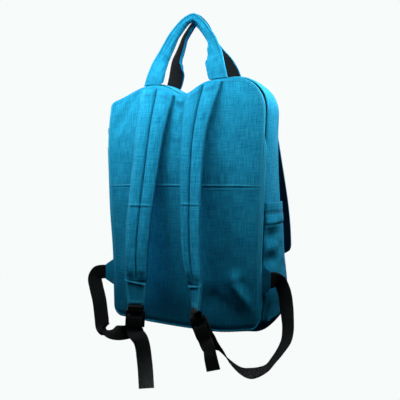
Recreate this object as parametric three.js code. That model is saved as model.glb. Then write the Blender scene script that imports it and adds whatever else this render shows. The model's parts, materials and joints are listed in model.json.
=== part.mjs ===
// Canvas backpack hanging by its two handles.
// Millimetres, +Z up. The origin is the hang point under the gathered handle grips.
// -Y is the harness side with the shoulder straps, +Y the outer front, +X the right of the harness side.
import * as THREE from "three";

// Driving sizes of the bag
const BAG_HEIGHT = 402;
const HALF_WIDTH = 150;
const HANG_DROP = 104;
const TOP_RADIUS_LEFT = 9;
const TOP_RADIUS_RIGHT = 58;
const BASE_RADIUS = 13;
const TOP_Z = -HANG_DROP;
const BASE_Z = TOP_Z - BAG_HEIGHT;

// Cloth and seams
const CANVAS = 2;
const BACK_WALL = 3.5;
const GAP = 0.3;
const BACK_SWELL = 9;
const SWELL_POWER = 0.6;
const EDGE_HOLD = 8;
const FRONT_SWELL = 5;
const TOP_DOME = 3;
const SIDE_DOME = 5;
const WELT_RADIUS = 1.8;
const SEAM_HEIGHT = 226;
const SEAM_DEPTH = 2;
const SEAM_HALF = 4;

// Mouth slit and zip
const MOUTH_GAP = 9.5;
const MOUTH_FADE = { closed: 312, open: 380 };
const ZIP_TAPE = { thickness: 1.2, width: 10, inset: 2, lip: 1, seat: 1 };
const ZIP_SLIDER = { height: 340, share: 0.13, stand: 3.8, tilt: 14, thickness: 1.8 };
const ZIP_PULL = { body: 11, width: 8, length: 24 };

// Pockets and flap
const SIDE_POCKET = { low: BASE_RADIUS + 2, high: 202, gape: 8, closeOver: 72, hem: 30, gather: 0.2 };
const POCKET_FOLDS = { rise: 2.2, length: 42, from: 95, full: 142, stop: 162 };
const FRONT_POCKET = { low: 24, high: 212, half: 124, depth: 38, mouth: 0.5, fullAt: 0.55, closeOver: 0.14 };
const LINING = 1;

// Handles
const HANDLE = { cover: 1.8, webbing: 1.5, between: 1.05, trim: 1, seat: 1.3 };
const HANDLE_FOLD = { radius: 2.9, degrees: 170, flat: 3, ease: 3 };

// Shoulder straps, webbing and ladder locks
const STRAP_RIM = 2.4;
const STRAP_OVER = 0.75;
const STRAP_GROOVE = { depth: 0.5, width: 0.13 };
const WEBBING = { width: 25, thickness: 1.5 };
const TAB = { reach: 13, foot: 46, end: 27, thickness: 2.4, lead: 5.5 };
const LOCK = { width: 32, rail: 3, top: 3.5, middle: 3, bottom: 5, slot: 8, thickness: 3.4 };
const LOCK_RUN = { inLow: 3, inBehind: 3, slotLow: 6, slotBehind: 1, outHigh: 4, outLow: 6, outAhead: 0.4 };

// Hanging form of the bag: height above the base, side edges, the two faces and the pinch of the front.
const SECTIONS = [
  { height: 0, left: -137, right: 139, back: -46, front: 77, pinch: 0 },
  { height: 50, left: -139, right: 142, back: -45, front: 74, pinch: 0 },
  { height: 110, left: -142, right: 140, back: -43, front: 63, pinch: 0 },
  { height: 180, left: -150, right: 141, back: -40, front: 51, pinch: 1 },
  { height: 250, left: -157, right: 143, back: -37, front: 40, pinch: 3 },
  { height: 310, left: -162, right: 144, back: -34, front: 32, pinch: 2 },
  { height: 360, left: -161, right: 145, back: -32, front: 28, pinch: 0 },
  { height: 402, left: -157, right: 145, back: -30, front: 26, pinch: 0 },
];

// Sags of the hung cloth: where they centre, how deep they drop, where they fade; one base corner lifts.
const VALLEY = { x: -4, spread: 30, drop: 20, fadeFrom: 250, strapFade: 110 };
const SHOULDER = { from: -70, to: -165, drop: 24, fadeFrom: 200 };
const BASE_SAG = { drop: 5, fadeAt: 120 };
const BASE_LIFT = { from: 60, to: 150, rise: 8 };

// Folds of the back panel: a ridge, or a crease where rise is negative, along a line in x and height.
const FOLDS = [
  { x0: -90, height0: 398, x1: -126, height1: 358, rise: -6, spread: 12 },
  { x0: -112, height0: 400, x1: -140, height1: 372, rise: 4, spread: 9 },
  { x0: 108, height0: 78, x1: 140, height1: 18, rise: 9, spread: 13 },
  { x0: 60, height0: 40, x1: 118, height1: 16, rise: -7, spread: 20 },
  { x0: 0, height0: 388, x1: 2, height1: 350, rise: -4, spread: 16 },
];

// Arches of the handles: rise over the bag's top edge, outer edge of each leg, inward lean, the cloth that
// shows on each leg before it folds under, and the cloth's whole width.
const HANDLE_ARCHES = {
  back: [
    { rise: 0, left: -85, right: 78, lean: 0, showLeft: 31, showRight: 31, wide: 34 },
    { rise: 22, left: -76.2, right: 72.3, lean: 0.12, showLeft: 31, showRight: 31, wide: 34 },
    { rise: 38, left: -69, right: 67, lean: 0.31, showLeft: 30, showRight: 31, wide: 34 },
    { rise: 47, left: -65, right: 63.7, lean: 0.458, showLeft: 27.5, showRight: 30, wide: 34 },
    { rise: 53, left: -61.5, right: 60.6, lean: 0.51, showLeft: 25.5, showRight: 25, wide: 33 },
    { rise: 59, left: -57.4, right: 57, lean: 0.562, showLeft: 23.5, showRight: 17.5, wide: 32 },
    { rise: 66, left: -53.5, right: 53, lean: 0.621, showLeft: 21.5, showRight: 13.5, wide: 30 },
    { rise: 76, left: -47.6, right: 46, lean: 0.705, showLeft: 19.5, showRight: 11.5, wide: 28 },
    { rise: 88, left: -40.6, right: 36, lean: 0.805, showLeft: 17, showRight: 10, wide: 27 },
    { rise: 99, left: -31, right: 26.3, lean: 0.895, showLeft: 13.5, showRight: 9.5, wide: 25.5 },
    { rise: 108, left: -21.2, right: 18, lean: 0.968, showLeft: 11.5, showRight: 9.5, wide: 25 },
    { rise: 114.5, left: -10.5, right: 11, lean: 1, showLeft: 10, showRight: 9.5, wide: 25 },
    { rise: 117.5, left: 3.5, right: 3.5, lean: 1, showLeft: 9.5, showRight: 9.5, wide: 25 },
  ],
  front: [
    { rise: 0, left: -75, right: 80, lean: 0, showLeft: 28, showRight: 28, wide: 31 },
    { rise: 22, left: -67.5, right: 72.3, lean: 0.12, showLeft: 28, showRight: 28, wide: 31 },
    { rise: 38, left: -62, right: 64, lean: 0.31, showLeft: 28, showRight: 28, wide: 31 },
    { rise: 47, left: -58, right: 57.6, lean: 0.458, showLeft: 25, showRight: 23, wide: 30 },
    { rise: 53, left: -55, right: 52, lean: 0.51, showLeft: 18, showRight: 17, wide: 28 },
    { rise: 59, left: -50.8, right: 46.5, lean: 0.562, showLeft: 13.5, showRight: 13, wide: 26.5 },
    { rise: 66, left: -45.6, right: 39, lean: 0.621, showLeft: 11.5, showRight: 11, wide: 25 },
    { rise: 76, left: -39.2, right: 31, lean: 0.705, showLeft: 10, showRight: 10, wide: 24 },
    { rise: 88, left: -31.8, right: 22, lean: 0.805, showLeft: 9, showRight: 9, wide: 23.5 },
    { rise: 99, left: -21.8, right: 13, lean: 0.895, showLeft: 7.8, showRight: 7.8, wide: 22.5 },
    { rise: 108, left: -12.8, right: 6, lean: 0.968, showLeft: 7, showRight: 7, wide: 22 },
    { rise: 113.5, left: -6.5, right: 2.5, lean: 1, showLeft: 7, showRight: 7, wide: 22 },
    { rise: 115.5, left: -1.5, right: -1.5, lean: 1, showLeft: 7, showRight: 7, wide: 22 },
  ],
};
const GRIP_OFFSET = 10;

// Padded straps: drop below the top edge, centre, distance off, width, padding and turn about the vertical.
const STRAPS = {
  left: [
    { drop: 7, x: -54, y: -31, width: 68, pad: 5, turn: 0 },
    { drop: 20, x: -55, y: -36, width: 67, pad: 7, turn: 0 },
    { drop: 70, x: -58, y: -48, width: 60, pad: 8, turn: 3 },
    { drop: 119, x: -59, y: -58, width: 53, pad: 8, turn: 6 },
    { drop: 214, x: -59, y: -79, width: 46, pad: 8, turn: 10 },
    { drop: 275, x: -57, y: -92, width: 42, pad: 8, turn: 14 },
    { drop: 322, x: -53, y: -99, width: 38, pad: 7, turn: 18 },
    { drop: 328, x: -53, y: -100, width: 37, pad: 4, turn: 19 },
    { drop: 331, x: -53, y: -100, width: 36, pad: 1.6, turn: 20 },
    { drop: 368, x: -52, y: -102, width: 28, pad: 1.2, turn: 24 },
  ],
  right: [
    { drop: 5, x: 37, y: -31, width: 68, pad: 5, turn: 0 },
    { drop: 18, x: 35, y: -36, width: 66, pad: 7, turn: 0 },
    { drop: 55, x: 31, y: -45, width: 56, pad: 8, turn: -2 },
    { drop: 93, x: 29, y: -53, width: 48, pad: 8, turn: -4 },
    { drop: 150, x: 32, y: -66, width: 44, pad: 8, turn: -7 },
    { drop: 214, x: 38, y: -79, width: 42, pad: 8, turn: -10 },
    { drop: 273, x: 46, y: -90, width: 39, pad: 8, turn: -14 },
    { drop: 318, x: 56, y: -98, width: 38, pad: 7, turn: -19 },
    { drop: 324, x: 57, y: -99, width: 37, pad: 4, turn: -22 },
    { drop: 327, x: 58, y: -99, width: 35, pad: 1.6, turn: -24 },
    { drop: 362, x: 62, y: -102, width: 27, pad: 1.2, turn: -38 },
  ],
};
const LOCK_HANGS = { left: { turn: 24, lean: -4, hang: 10 }, right: { turn: -6, lean: 28, hang: 17.5 } };

// Free webbing between tab and ladder lock, and its tail: turn and tip point its width sideways and upwards.
const WEBBING_ROUTES = {
  left: {
    tab: { height: 72, stand: 5, tilt: 0, out: { x: -0.86, y: -0.5 } },
    route: [
      { drop: 332, x: -169, y: -57, turn: 30, tip: -60 },
      { drop: 342, x: -174, y: -59.5, turn: 30, tip: -30 },
      { drop: 357, x: -170, y: -61, turn: 30, tip: -6 },
      { drop: 380, x: -160.5, y: -64, turn: 30, tip: 0 },
      { drop: 410, x: -151.5, y: -69, turn: 30, tip: 0 },
      { drop: 424, x: -146, y: -72.5, turn: 24, tip: 0 },
      { drop: 429, x: -130, y: -77, turn: -45, tip: -8 },
      { drop: 427.5, x: -108, y: -82, turn: -40, tip: -48 },
      { drop: 423, x: -88, y: -87, turn: 20, tip: -70 },
      { drop: 417, x: -71, y: -92, turn: 24, tip: -44 },
      { drop: 409, x: -57, y: -95, turn: 24, tip: -14 },
    ],
    tail: [
      { drop: 424, x: -38, y: -108, turn: 24, tip: 0 },
      { drop: 459, x: -31.5, y: -107, turn: 26, tip: 0 },
      { drop: 502, x: -29.5, y: -105, turn: 30, tip: 2 },
    ],
  },
  right: {
    tab: { height: 80, stand: 6.5, tilt: 0, out: { x: 0.72, y: 0.69 } },
    route: [
      { drop: 326, x: 168, y: -21, turn: -16, tip: 44 },
      { drop: 340, x: 175, y: -23, turn: -12, tip: 14 },
      { drop: 357, x: 179.5, y: -27, turn: -14, tip: 2 },
      { drop: 375, x: 184, y: -33, turn: -22, tip: 0 },
      { drop: 393, x: 187, y: -39, turn: -28, tip: 0 },
      { drop: 407, x: 187, y: -46, turn: -36, tip: 0 },
      { drop: 420, x: 182, y: -54, turn: -46, tip: 2 },
      { drop: 435, x: 173, y: -62, turn: -54, tip: 2 },
      { drop: 447, x: 164, y: -69, turn: -62, tip: -6 },
      { drop: 455, x: 145, y: -78, turn: -66, tip: -20 },
      { drop: 452, x: 131, y: -85, turn: -62, tip: -8 },
      { drop: 436, x: 114, y: -94, turn: -54, tip: 0 },
      { drop: 418, x: 101, y: -100, turn: -40, tip: 12 },
    ],
    tail: [
      { drop: 415, x: 89.5, y: -113, turn: -14, tip: 22 },
      { drop: 430, x: 95.5, y: -117, turn: -8, tip: 17 },
      { drop: 446, x: 101, y: -119, turn: -4, tip: 14 },
    ],
  },
};

// Flap over the front pocket: height, stand-off from the front panel and half width.
const FLAP = [
  { height: 322, off: 2.3, half: 145 },
  { height: 296, off: 6, half: 149 },
  { height: 236, off: 24, half: 151 },
  { height: 181, off: 41, half: 149 },
  { height: 125, off: 51, half: 146 },
  { height: 110, off: 53, half: 141 },
  { height: 103, off: 53.5, half: 130 },
];

// Finishes
const canvasBlue = new THREE.MeshStandardMaterial({ color: 0x1f8fc4, roughness: 0.95, metalness: 0 });
const webbingBlack = new THREE.MeshStandardMaterial({ color: 0x15181a, roughness: 0.8, metalness: 0 });
const plasticBlack = new THREE.MeshStandardMaterial({ color: 0x101214, roughness: 0.45, metalness: 0 });

const UP = new THREE.Vector3(0, 0, 1);
const lerp = THREE.MathUtils.lerp;
const smoothstep = THREE.MathUtils.smoothstep;
const radians = THREE.MathUtils.degToRad;

// Value of a table's column at a key, on a cubic through its rows.
function read(table, key, column, at) {
  const rising = table[0][key] < table[table.length - 1][key];
  const rows = rising ? table : [...table].reverse();
  const here = THREE.MathUtils.clamp(at, rows[0][key], rows[rows.length - 1][key]);
  let i = 0;
  while (i < rows.length - 2 && rows[i + 1][key] < here) i++;
  const slope = (k) => {
    const a = rows[Math.max(k - 1, 0)];
    const b = rows[Math.min(k + 1, rows.length - 1)];
    return (b[column] - a[column]) / (b[key] - a[key]);
  };
  const span = rows[i + 1][key] - rows[i][key];
  const t = (here - rows[i][key]) / span;
  const rise = rows[i + 1][column] - rows[i][column];
  const ease = t * t * (3 - 2 * t);
  const ends = t * (1 - t) * ((1 - t) * slope(i) - t * slope(i + 1)) * span;
  return rows[i][column] + rise * ease + ends;
}

// Closed solid of a sheet: outer and inner give its two faces at row i and column j.
function sheetSolid(rowCount, columnCount, outer, inner) {
  const across = columnCount + 1;
  const layer = (rowCount + 1) * across;
  const corners = [];
  for (const face of [outer, inner])
    for (let i = 0; i <= rowCount; i++) for (let j = 0; j <= columnCount; j++) corners.push(face(i, j));
  const index = [];
  const quad = (a, b, c, d) => index.push(a, b, c, a, c, d);
  const id = (side, i, j) => side * layer + i * across + j;
  for (let i = 0; i < rowCount; i++)
    for (let j = 0; j < columnCount; j++) {
      quad(id(0, i, j), id(0, i, j + 1), id(0, i + 1, j + 1), id(0, i + 1, j));
      quad(id(1, i, j), id(1, i + 1, j), id(1, i + 1, j + 1), id(1, i, j + 1));
    }
  for (let i = 0; i < rowCount; i++) {
    quad(id(0, i, 0), id(0, i + 1, 0), id(1, i + 1, 0), id(1, i, 0));
    quad(id(0, i + 1, columnCount), id(0, i, columnCount), id(1, i, columnCount), id(1, i + 1, columnCount));
  }
  for (let j = 0; j < columnCount; j++) {
    quad(id(0, 0, j + 1), id(0, 0, j), id(1, 0, j), id(1, 0, j + 1));
    quad(id(0, rowCount, j), id(0, rowCount, j + 1), id(1, rowCount, j + 1), id(1, rowCount, j));
  }
  if (signedVolume(corners, index) < 0) index.reverse();
  const geometry = new THREE.BufferGeometry().setFromPoints(corners);
  return geometry.setIndex(index);
}

function signedVolume(corners, index) {
  let six = 0;
  for (let k = 0; k < index.length; k += 3) {
    const [a, b, c] = [corners[index[k]], corners[index[k + 1]], corners[index[k + 2]]];
    six += a.dot(new THREE.Vector3().crossVectors(b, c));
  }
  return six / 6;
}

const part = new THREE.Group();
function addMesh(name, geometry, material) {
  const mesh = new THREE.Mesh(geometry, material);
  mesh.name = name;
  part.add(mesh);
  return mesh;
}

// Hung form of the bag

const section = (column, height) => read(SECTIONS, "height", column, height);
const depthAt = (height) => section("front", height) - section("back", height);

// Drop of the cloth under its own weight: the valley between the handles, the left shoulder and the base.
function sag(x, height) {
  const valley = VALLEY.drop * Math.exp(-(((x - VALLEY.x) / VALLEY.spread) ** 2));
  const shoulder = SHOULDER.drop * smoothstep(-x, -SHOULDER.from, -SHOULDER.to);
  const lift = BASE_LIFT.rise * smoothstep(x, BASE_LIFT.from, BASE_LIFT.to);
  const base = BASE_SAG.drop * (1 - (x / HALF_WIDTH) ** 2) - lift;
  return (
    -valley * smoothstep(height, VALLEY.fadeFrom, BAG_HEIGHT) -
    shoulder * smoothstep(height, SHOULDER.fadeFrom, BAG_HEIGHT) -
    base * (1 - smoothstep(height, 0, BASE_SAG.fadeAt))
  );
}

// Point of the bag from its flat pattern: x across, height, depth share from back to front, offset along Y.
function place(x, height, share, offset = 0) {
  const edge = x < 0 ? -section("left", height) : section("right", height);
  const across = (x / HALF_WIDTH) * (edge - section("pinch", height) * share);
  const deep = lerp(section("back", height), section("front", height), share) + offset;
  return new THREE.Vector3(across, deep, BASE_Z + height + sag(across, height));
}

// How far a rounded corner cuts into the flat pattern's side at a height.
function cornerCut(height, topRadius) {
  const low = BASE_RADIUS - height;
  const high = height - (BAG_HEIGHT - topRadius);
  const radius = low > 0 ? BASE_RADIUS : topRadius;
  const into = Math.max(low, high, 0);
  return radius - Math.sqrt(Math.max(radius * radius - into * into, 0));
}

// Across position in the flat pattern at a height, for a share from the left edge to the right.
function acrossAt(height, share) {
  const left = -HALF_WIDTH + cornerCut(height, TOP_RADIUS_LEFT);
  const right = HALF_WIDTH - cornerCut(height, TOP_RADIUS_RIGHT);
  return lerp(left, right, share);
}

// Heights of the panels' rows: close in the corner arcs and at the cross seam.
function panelHeights(arcSteps, plainSteps, withSeam) {
  const heights = [];
  const topStart = BAG_HEIGHT - TOP_RADIUS_RIGHT;
  for (let k = 0; k <= arcSteps; k++) {
    const angle = (Math.PI / 2) * (k / arcSteps);
    if (k < arcSteps) heights.push(BASE_RADIUS * (1 - Math.cos(angle)));
    heights.push(topStart + TOP_RADIUS_RIGHT * Math.sin(angle));
  }
  const seamRows = withSeam ? [-2, -1, 0, 1, 2].map((k) => SEAM_HEIGHT + (k * SEAM_HALF) / 2) : [];
  for (let k = 0; k < plainSteps; k++) {
    const height = lerp(BASE_RADIUS, topStart, k / plainSteps);
    if (seamRows.every((row) => Math.abs(row - height) > SEAM_HALF)) heights.push(height);
  }
  heights.push(...seamRows);
  return heights.sort((a, b) => a - b);
}

function distanceToFold(x, height, fold) {
  const line = new THREE.Line3(
    new THREE.Vector3(fold.x0, fold.height0, 0),
    new THREE.Vector3(fold.x1, fold.height1, 0),
  );
  const here = new THREE.Vector3(x, height, 0);
  return line.closestPointToPoint(here, true, new THREE.Vector3()).distanceTo(here);
}

// Outward relief of the back panel: soft swell, folds and the pressed-in cross seam, level at its edges.
function backRelief(x, height) {
  const share = THREE.MathUtils.clamp(height / BAG_HEIGHT, 0, 1);
  const left = acrossAt(height, 0);
  const right = acrossAt(height, 1);
  const u = (2 * x - left - right) / (right - left);
  const between = Math.sin(Math.PI * share) ** SWELL_POWER;
  const inside = 1 - u ** EDGE_HOLD;
  let folds = 0;
  for (const fold of FOLDS) {
    const away = distanceToFold(x, height, fold) / fold.spread;
    folds += fold.rise * Math.exp(-away * away);
  }
  const offSeam = (height - SEAM_HEIGHT) / (SEAM_HALF / 2);
  const seam = SEAM_DEPTH * Math.exp(-offSeam * offSeam) * inside;
  return BACK_SWELL * (1 - u * u) * between + folds * inside * between - seam;
}

// Y of the back panel's outer face at a place in x and z.
function backFace(x, z) {
  let height = z - BASE_Z;
  for (let k = 0; k < 3; k++) height = z - BASE_Z - sag(x, height);
  const edge = x < 0 ? -section("left", height) : section("right", height);
  const flatX = (x / edge) * HALF_WIDTH;
  return section("back", height) - backRelief(flatX, height);
}

function makeBackPanel() {
  const columns = 14;
  const heights = panelHeights(4, 10, true);
  const face = (inward) => (i, j) => {
    const x = acrossAt(heights[i], j / columns);
    return place(x, heights[i], 0, inward - backRelief(x, heights[i]));
  };
  addMesh("back_panel", sheetSolid(heights.length - 1, columns, face(0), face(BACK_WALL)), canvasBlue);
}

function frontRelief(x, height) {
  const share = THREE.MathUtils.clamp(height / BAG_HEIGHT, 0, 1);
  const u = x / HALF_WIDTH;
  return FRONT_SWELL * (1 - u * u) * Math.sin(Math.PI * share);
}

function makeFrontPanel() {
  const columns = 8;
  const heights = panelHeights(4, 8, false);
  const face = (inward) => (i, j) => {
    const x = acrossAt(heights[i], j / columns);
    return place(x, heights[i], 1, frontRelief(x, heights[i]) - inward);
  };
  addMesh("front_panel", sheetSolid(heights.length - 1, columns, face(0), face(CANVAS)), canvasBlue);
}

// Steps along the top edge and round each top corner, shared by the gusset and the zip tapes.
const EDGE_STEPS = { top: 13, arc: 4 };

// Edge of the flat pattern as points with outward directions: up the left, over the top and down the right.
function upperOutline(from, sideSteps, topSteps, arcSteps) {
  const points = [];
  const leftEnd = BAG_HEIGHT - TOP_RADIUS_LEFT;
  const rightEnd = BAG_HEIGHT - TOP_RADIUS_RIGHT;
  for (let k = 0; k < sideSteps; k++)
    points.push({ x: -HALF_WIDTH, height: lerp(from, leftEnd, k / sideSteps), nx: -1, nh: 0 });
  const arc = (centreX, centreHeight, radius, startAngle, endAngle) => {
    for (let k = 0; k < arcSteps; k++) {
      const angle = lerp(startAngle, endAngle, k / arcSteps);
      const nx = Math.cos(angle);
      const nh = Math.sin(angle);
      points.push({ x: centreX + radius * nx, height: centreHeight + radius * nh, nx, nh });
    }
  };
  arc(-HALF_WIDTH + TOP_RADIUS_LEFT, leftEnd, TOP_RADIUS_LEFT, Math.PI, Math.PI / 2);
  const topFrom = -HALF_WIDTH + TOP_RADIUS_LEFT;
  const topTo = HALF_WIDTH - TOP_RADIUS_RIGHT;
  for (let k = 0; k < topSteps; k++)
    points.push({ x: lerp(topFrom, topTo, k / topSteps), height: BAG_HEIGHT, nx: 0, nh: 1 });
  arc(topTo, rightEnd, TOP_RADIUS_RIGHT, Math.PI / 2, 0);
  for (let k = 0; k <= sideSteps; k++)
    points.push({ x: HALF_WIDTH, height: lerp(rightEnd, from, k / sideSteps), nx: 1, nh: 0 });
  return points;
}

// The rest of the edge: round the lower left corner, along the base and round the lower right corner.
function lowerOutline(baseSteps, arcSteps) {
  const points = [];
  const straight = HALF_WIDTH - BASE_RADIUS;
  const arc = (centreX, startAngle, steps, last) => {
    for (let k = 0; k < steps + last; k++) {
      const angle = startAngle + (Math.PI / 2) * (k / steps);
      const nx = Math.cos(angle);
      const nh = Math.sin(angle);
      points.push({ x: centreX + BASE_RADIUS * nx, height: BASE_RADIUS * (1 + nh), nx, nh });
    }
  };
  arc(-straight, Math.PI, arcSteps, 0);
  for (let k = 0; k < baseSteps; k++)
    points.push({ x: lerp(-straight, straight, k / baseSteps), height: 0, nx: 0, nh: -1 });
  arc(straight, -Math.PI / 2, arcSteps, 1);
  return points;
}

// Outward doming of the gusset, fullest over the top.
function domeAt(edge, share) {
  const full = lerp(SIDE_DOME, TOP_DOME, Math.max(edge.nh, 0));
  return full * Math.sin(Math.PI * share ** 0.75);
}

// Point on the gusset, standing out from its edge line.
function onGusset(edge, share, out) {
  return place(edge.x + edge.nx * out, edge.height + edge.nh * out, share);
}

// Depth share of the gusset's edge next to the back panel: the mouth slit opens over the top.
function mouthShare(height) {
  const open = MOUTH_GAP * smoothstep(height, MOUTH_FADE.closed, MOUTH_FADE.open);
  return (BACK_WALL + GAP + open) / depthAt(height);
}

const frontShare = (height) => 1 - (CANVAS + 3 * GAP) / depthAt(height);

function makeGusset() {
  const columns = 6;
  const edges = upperOutline(BASE_RADIUS + GAP, 7, EDGE_STEPS.top, EDGE_STEPS.arc);
  const face = (inward) => (i, j) => {
    const edge = edges[i];
    const share = lerp(mouthShare(edge.height), frontShare(edge.height), j / columns);
    return onGusset(edge, share, domeAt(edge, share) - inward);
  };
  addMesh("gusset", sheetSolid(edges.length - 1, columns, face(0), face(CANVAS)), canvasBlue);
}

function makeBasePanel() {
  const columns = 5;
  const edges = lowerOutline(10, 4);
  const face = (inward) => (i, j) => {
    const edge = edges[i];
    const share = lerp((BACK_WALL + GAP) / depthAt(0), frontShare(0), j / columns);
    return onGusset(edge, share, domeAt(edge, share) - inward);
  };
  addMesh("base_panel", sheetSolid(edges.length - 1, columns, face(0), face(CANVAS)), canvasBlue);
}

// Raised seam edge down the right side, along the base and up the left side of the back panel.
function makeSeamWelt() {
  const sides = 6;
  const side = upperOutline(BASE_RADIUS, 8, 2, 2).filter((edge) => edge.height <= MOUTH_FADE.closed);
  const right = side.filter((edge) => edge.nx > 0);
  const left = side.filter((edge) => edge.nx < 0);
  const base = lowerOutline(8, 4).reverse().slice(1, -1);
  const stand = WELT_RADIUS + 3 * GAP;
  const path = [...right, ...base, ...left].map((edge) => {
    const point = onGusset(edge, 0, stand);
    point.y += WELT_RADIUS;
    return point;
  });
  const curve = new THREE.CatmullRomCurve3(path, false, "centripetal");
  const round = new THREE.Shape();
  for (let k = 0; k < sides; k++) {
    const angle = (2 * Math.PI * k) / sides;
    const [a, b] = [WELT_RADIUS * Math.cos(angle), WELT_RADIUS * Math.sin(angle)];
    if (k === 0) round.moveTo(a, b);
    else round.lineTo(a, b);
  }
  round.closePath();
  const tube = new THREE.ExtrudeGeometry(round, { steps: 96, extrudePath: curve, bevelEnabled: false });
  addMesh("seam_welt", tube, canvasBlue);
}

// Zip tapes on both sides of the mouth slit.
function makeZipTapes() {
  const outline = upperOutline(BASE_RADIUS, 12, EDGE_STEPS.top, EDGE_STEPS.arc);
  const edges = outline.filter((edge) => edge.height >= MOUTH_FADE.closed);
  const backFaceOf = (lift) => (i, j) => {
    const edge = edges[i];
    const inset = ZIP_TAPE.inset + j * ZIP_TAPE.width;
    const x = edge.x - edge.nx * inset;
    const height = edge.height - edge.nh * inset;
    return place(x, height, 0, BACK_WALL + ZIP_TAPE.seat + lift - backRelief(x, height));
  };
  const back = sheetSolid(edges.length - 1, 1, backFaceOf(0), backFaceOf(ZIP_TAPE.thickness));
  addMesh("zip_tape_back", back, webbingBlack);
  const frontFaceOf = (lift) => (i, j) => {
    const edge = edges[i];
    const rim = mouthShare(edge.height);
    const lip = ZIP_TAPE.lip * smoothstep(edge.height, MOUTH_FADE.closed + 30, MOUTH_FADE.open);
    const clear = (BACK_WALL + 2 * ZIP_TAPE.seat + ZIP_TAPE.thickness) / depthAt(edge.height);
    const start = Math.max(rim - lip / depthAt(edge.height), clear);
    const share = start + (j * (lip + ZIP_TAPE.width)) / depthAt(edge.height);
    const out = domeAt(edge, rim) - CANVAS - ZIP_TAPE.seat - lift;
    return onGusset(edge, share, out);
  };
  const front = sheetSolid(edges.length - 1, 1, frontFaceOf(0), frontFaceOf(ZIP_TAPE.thickness));
  addMesh("zip_tape_front", front, webbingBlack);
}

// Slider with its pull, at the left end of the slit.
function makeZipSlider() {
  const half = ZIP_PULL.width / 2;
  const neck = half / 2;
  const outline = new THREE.Shape();
  outline.moveTo(-half, 0);
  outline.lineTo(-half, ZIP_PULL.body);
  outline.lineTo(half, ZIP_PULL.body);
  outline.lineTo(half, 0);
  outline.lineTo(neck, -neck);
  outline.lineTo(neck, -ZIP_PULL.length);
  outline.lineTo(-neck, -ZIP_PULL.length);
  outline.lineTo(-neck, -neck);
  outline.closePath();
  const plate = new THREE.ExtrudeGeometry(outline, { depth: ZIP_SLIDER.thickness, bevelEnabled: false });
  const slider = addMesh("zip_slider", plate, plasticBlack);
  const edge = { x: -HALF_WIDTH, height: ZIP_SLIDER.height, nx: -1, nh: 0 };
  const seat = onGusset(edge, ZIP_SLIDER.share, ZIP_SLIDER.stand);
  const tilt = radians(ZIP_SLIDER.tilt);
  const across = new THREE.Vector3(Math.sin(tilt), -Math.cos(tilt), 0);
  const outward = new THREE.Vector3(-Math.cos(tilt), -Math.sin(tilt), 0);
  slider.matrixAutoUpdate = false;
  slider.matrix.makeBasis(across, UP, outward).setPosition(seat);
}

// Open-topped side pockets that lie over the gusset, gathered at the hem, with hanging folds.
function makeSidePocket(name, nx) {
  const rows = 14;
  const columns = 6;
  const face = (inward) => (i, j) => {
    const height = lerp(SIDE_POCKET.low, SIDE_POCKET.high, i / rows);
    const edge = { x: nx * HALF_WIDTH, height, nx, nh: 0 };
    const from = (BACK_WALL + 2 * WELT_RADIUS) / depthAt(height);
    const share = lerp(from, frontShare(height), j / columns);
    const arch = Math.sin((Math.PI * j) / columns) ** 0.7;
    const closing = smoothstep(height, SIDE_POCKET.low, SIDE_POCKET.low + SIDE_POCKET.closeOver);
    const hem = smoothstep(height, SIDE_POCKET.high - SIDE_POCKET.hem, SIDE_POCKET.high);
    const wave = Math.sin((2 * Math.PI * (height - POCKET_FOLDS.from)) / POCKET_FOLDS.length);
    const fadeIn = smoothstep(height, POCKET_FOLDS.from, POCKET_FOLDS.full);
    const fadeOut = 1 - smoothstep(height, POCKET_FOLDS.stop, SIDE_POCKET.high);
    const fold = POCKET_FOLDS.rise * wave * fadeIn * fadeOut;
    const gape = (SIDE_POCKET.gape * (1 - SIDE_POCKET.gather * hem) + fold) * closing;
    return onGusset(edge, share, domeAt(edge, share) + 3 * GAP + CANVAS + gape * arch - inward);
  };
  addMesh(name, sheetSolid(rows, columns, face(0), face(CANVAS)), canvasBlue);
}

// Full front pocket, closed at the sides and bottom and open at the top.
function makeFrontPocket() {
  const rows = 12;
  const columnShares = [-1, -0.97, -0.88, -0.62, -0.22, 0.22, 0.62, 0.88, 0.97, 1];
  const columns = columnShares.length - 1;
  const face = (inward) => (i, j) => {
    const rise = (i / rows) ** 1.4;
    const height = lerp(FRONT_POCKET.low, FRONT_POCKET.high, rise);
    const x = columnShares[j] * FRONT_POCKET.half;
    const side = 1 - Math.abs(columnShares[j]) ** 7;
    const foot = Math.sqrt(smoothstep(rise, 0, FRONT_POCKET.closeOver));
    const fill = lerp(1, FRONT_POCKET.mouth, smoothstep(rise, FRONT_POCKET.fullAt, 1));
    const bulge = FRONT_POCKET.depth * side * foot * fill;
    return place(x, height, 1, frontRelief(x, height) + 2 * GAP + CANVAS + bulge - inward);
  };
  addMesh("front_pocket", sheetSolid(rows, columns, face(0), face(CANVAS)), canvasBlue);
}

// Flap over the front pocket with its dark lining.
function makeFrontFlap() {
  const rows = 11;
  const columns = 6;
  const [top, low] = [FLAP[0].height, FLAP[FLAP.length - 1].height];
  const face = (out) => (i, j) => {
    const height = lerp(top, low, 1 - (1 - i / rows) ** 1.3);
    const x = lerp(-1, 1, j / columns) * read(FLAP, "height", "half", height);
    return place(x, height, 1, frontRelief(x, height) + read(FLAP, "height", "off", height) + out);
  };
  addMesh("front_flap", sheetSolid(rows, columns, face(CANVAS), face(0)), canvasBlue);
  const lining = sheetSolid(rows, columns, face(-GAP), face(-GAP - LINING));
  addMesh("front_flap_lining", lining, webbingBlack);
}

// Handles

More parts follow.
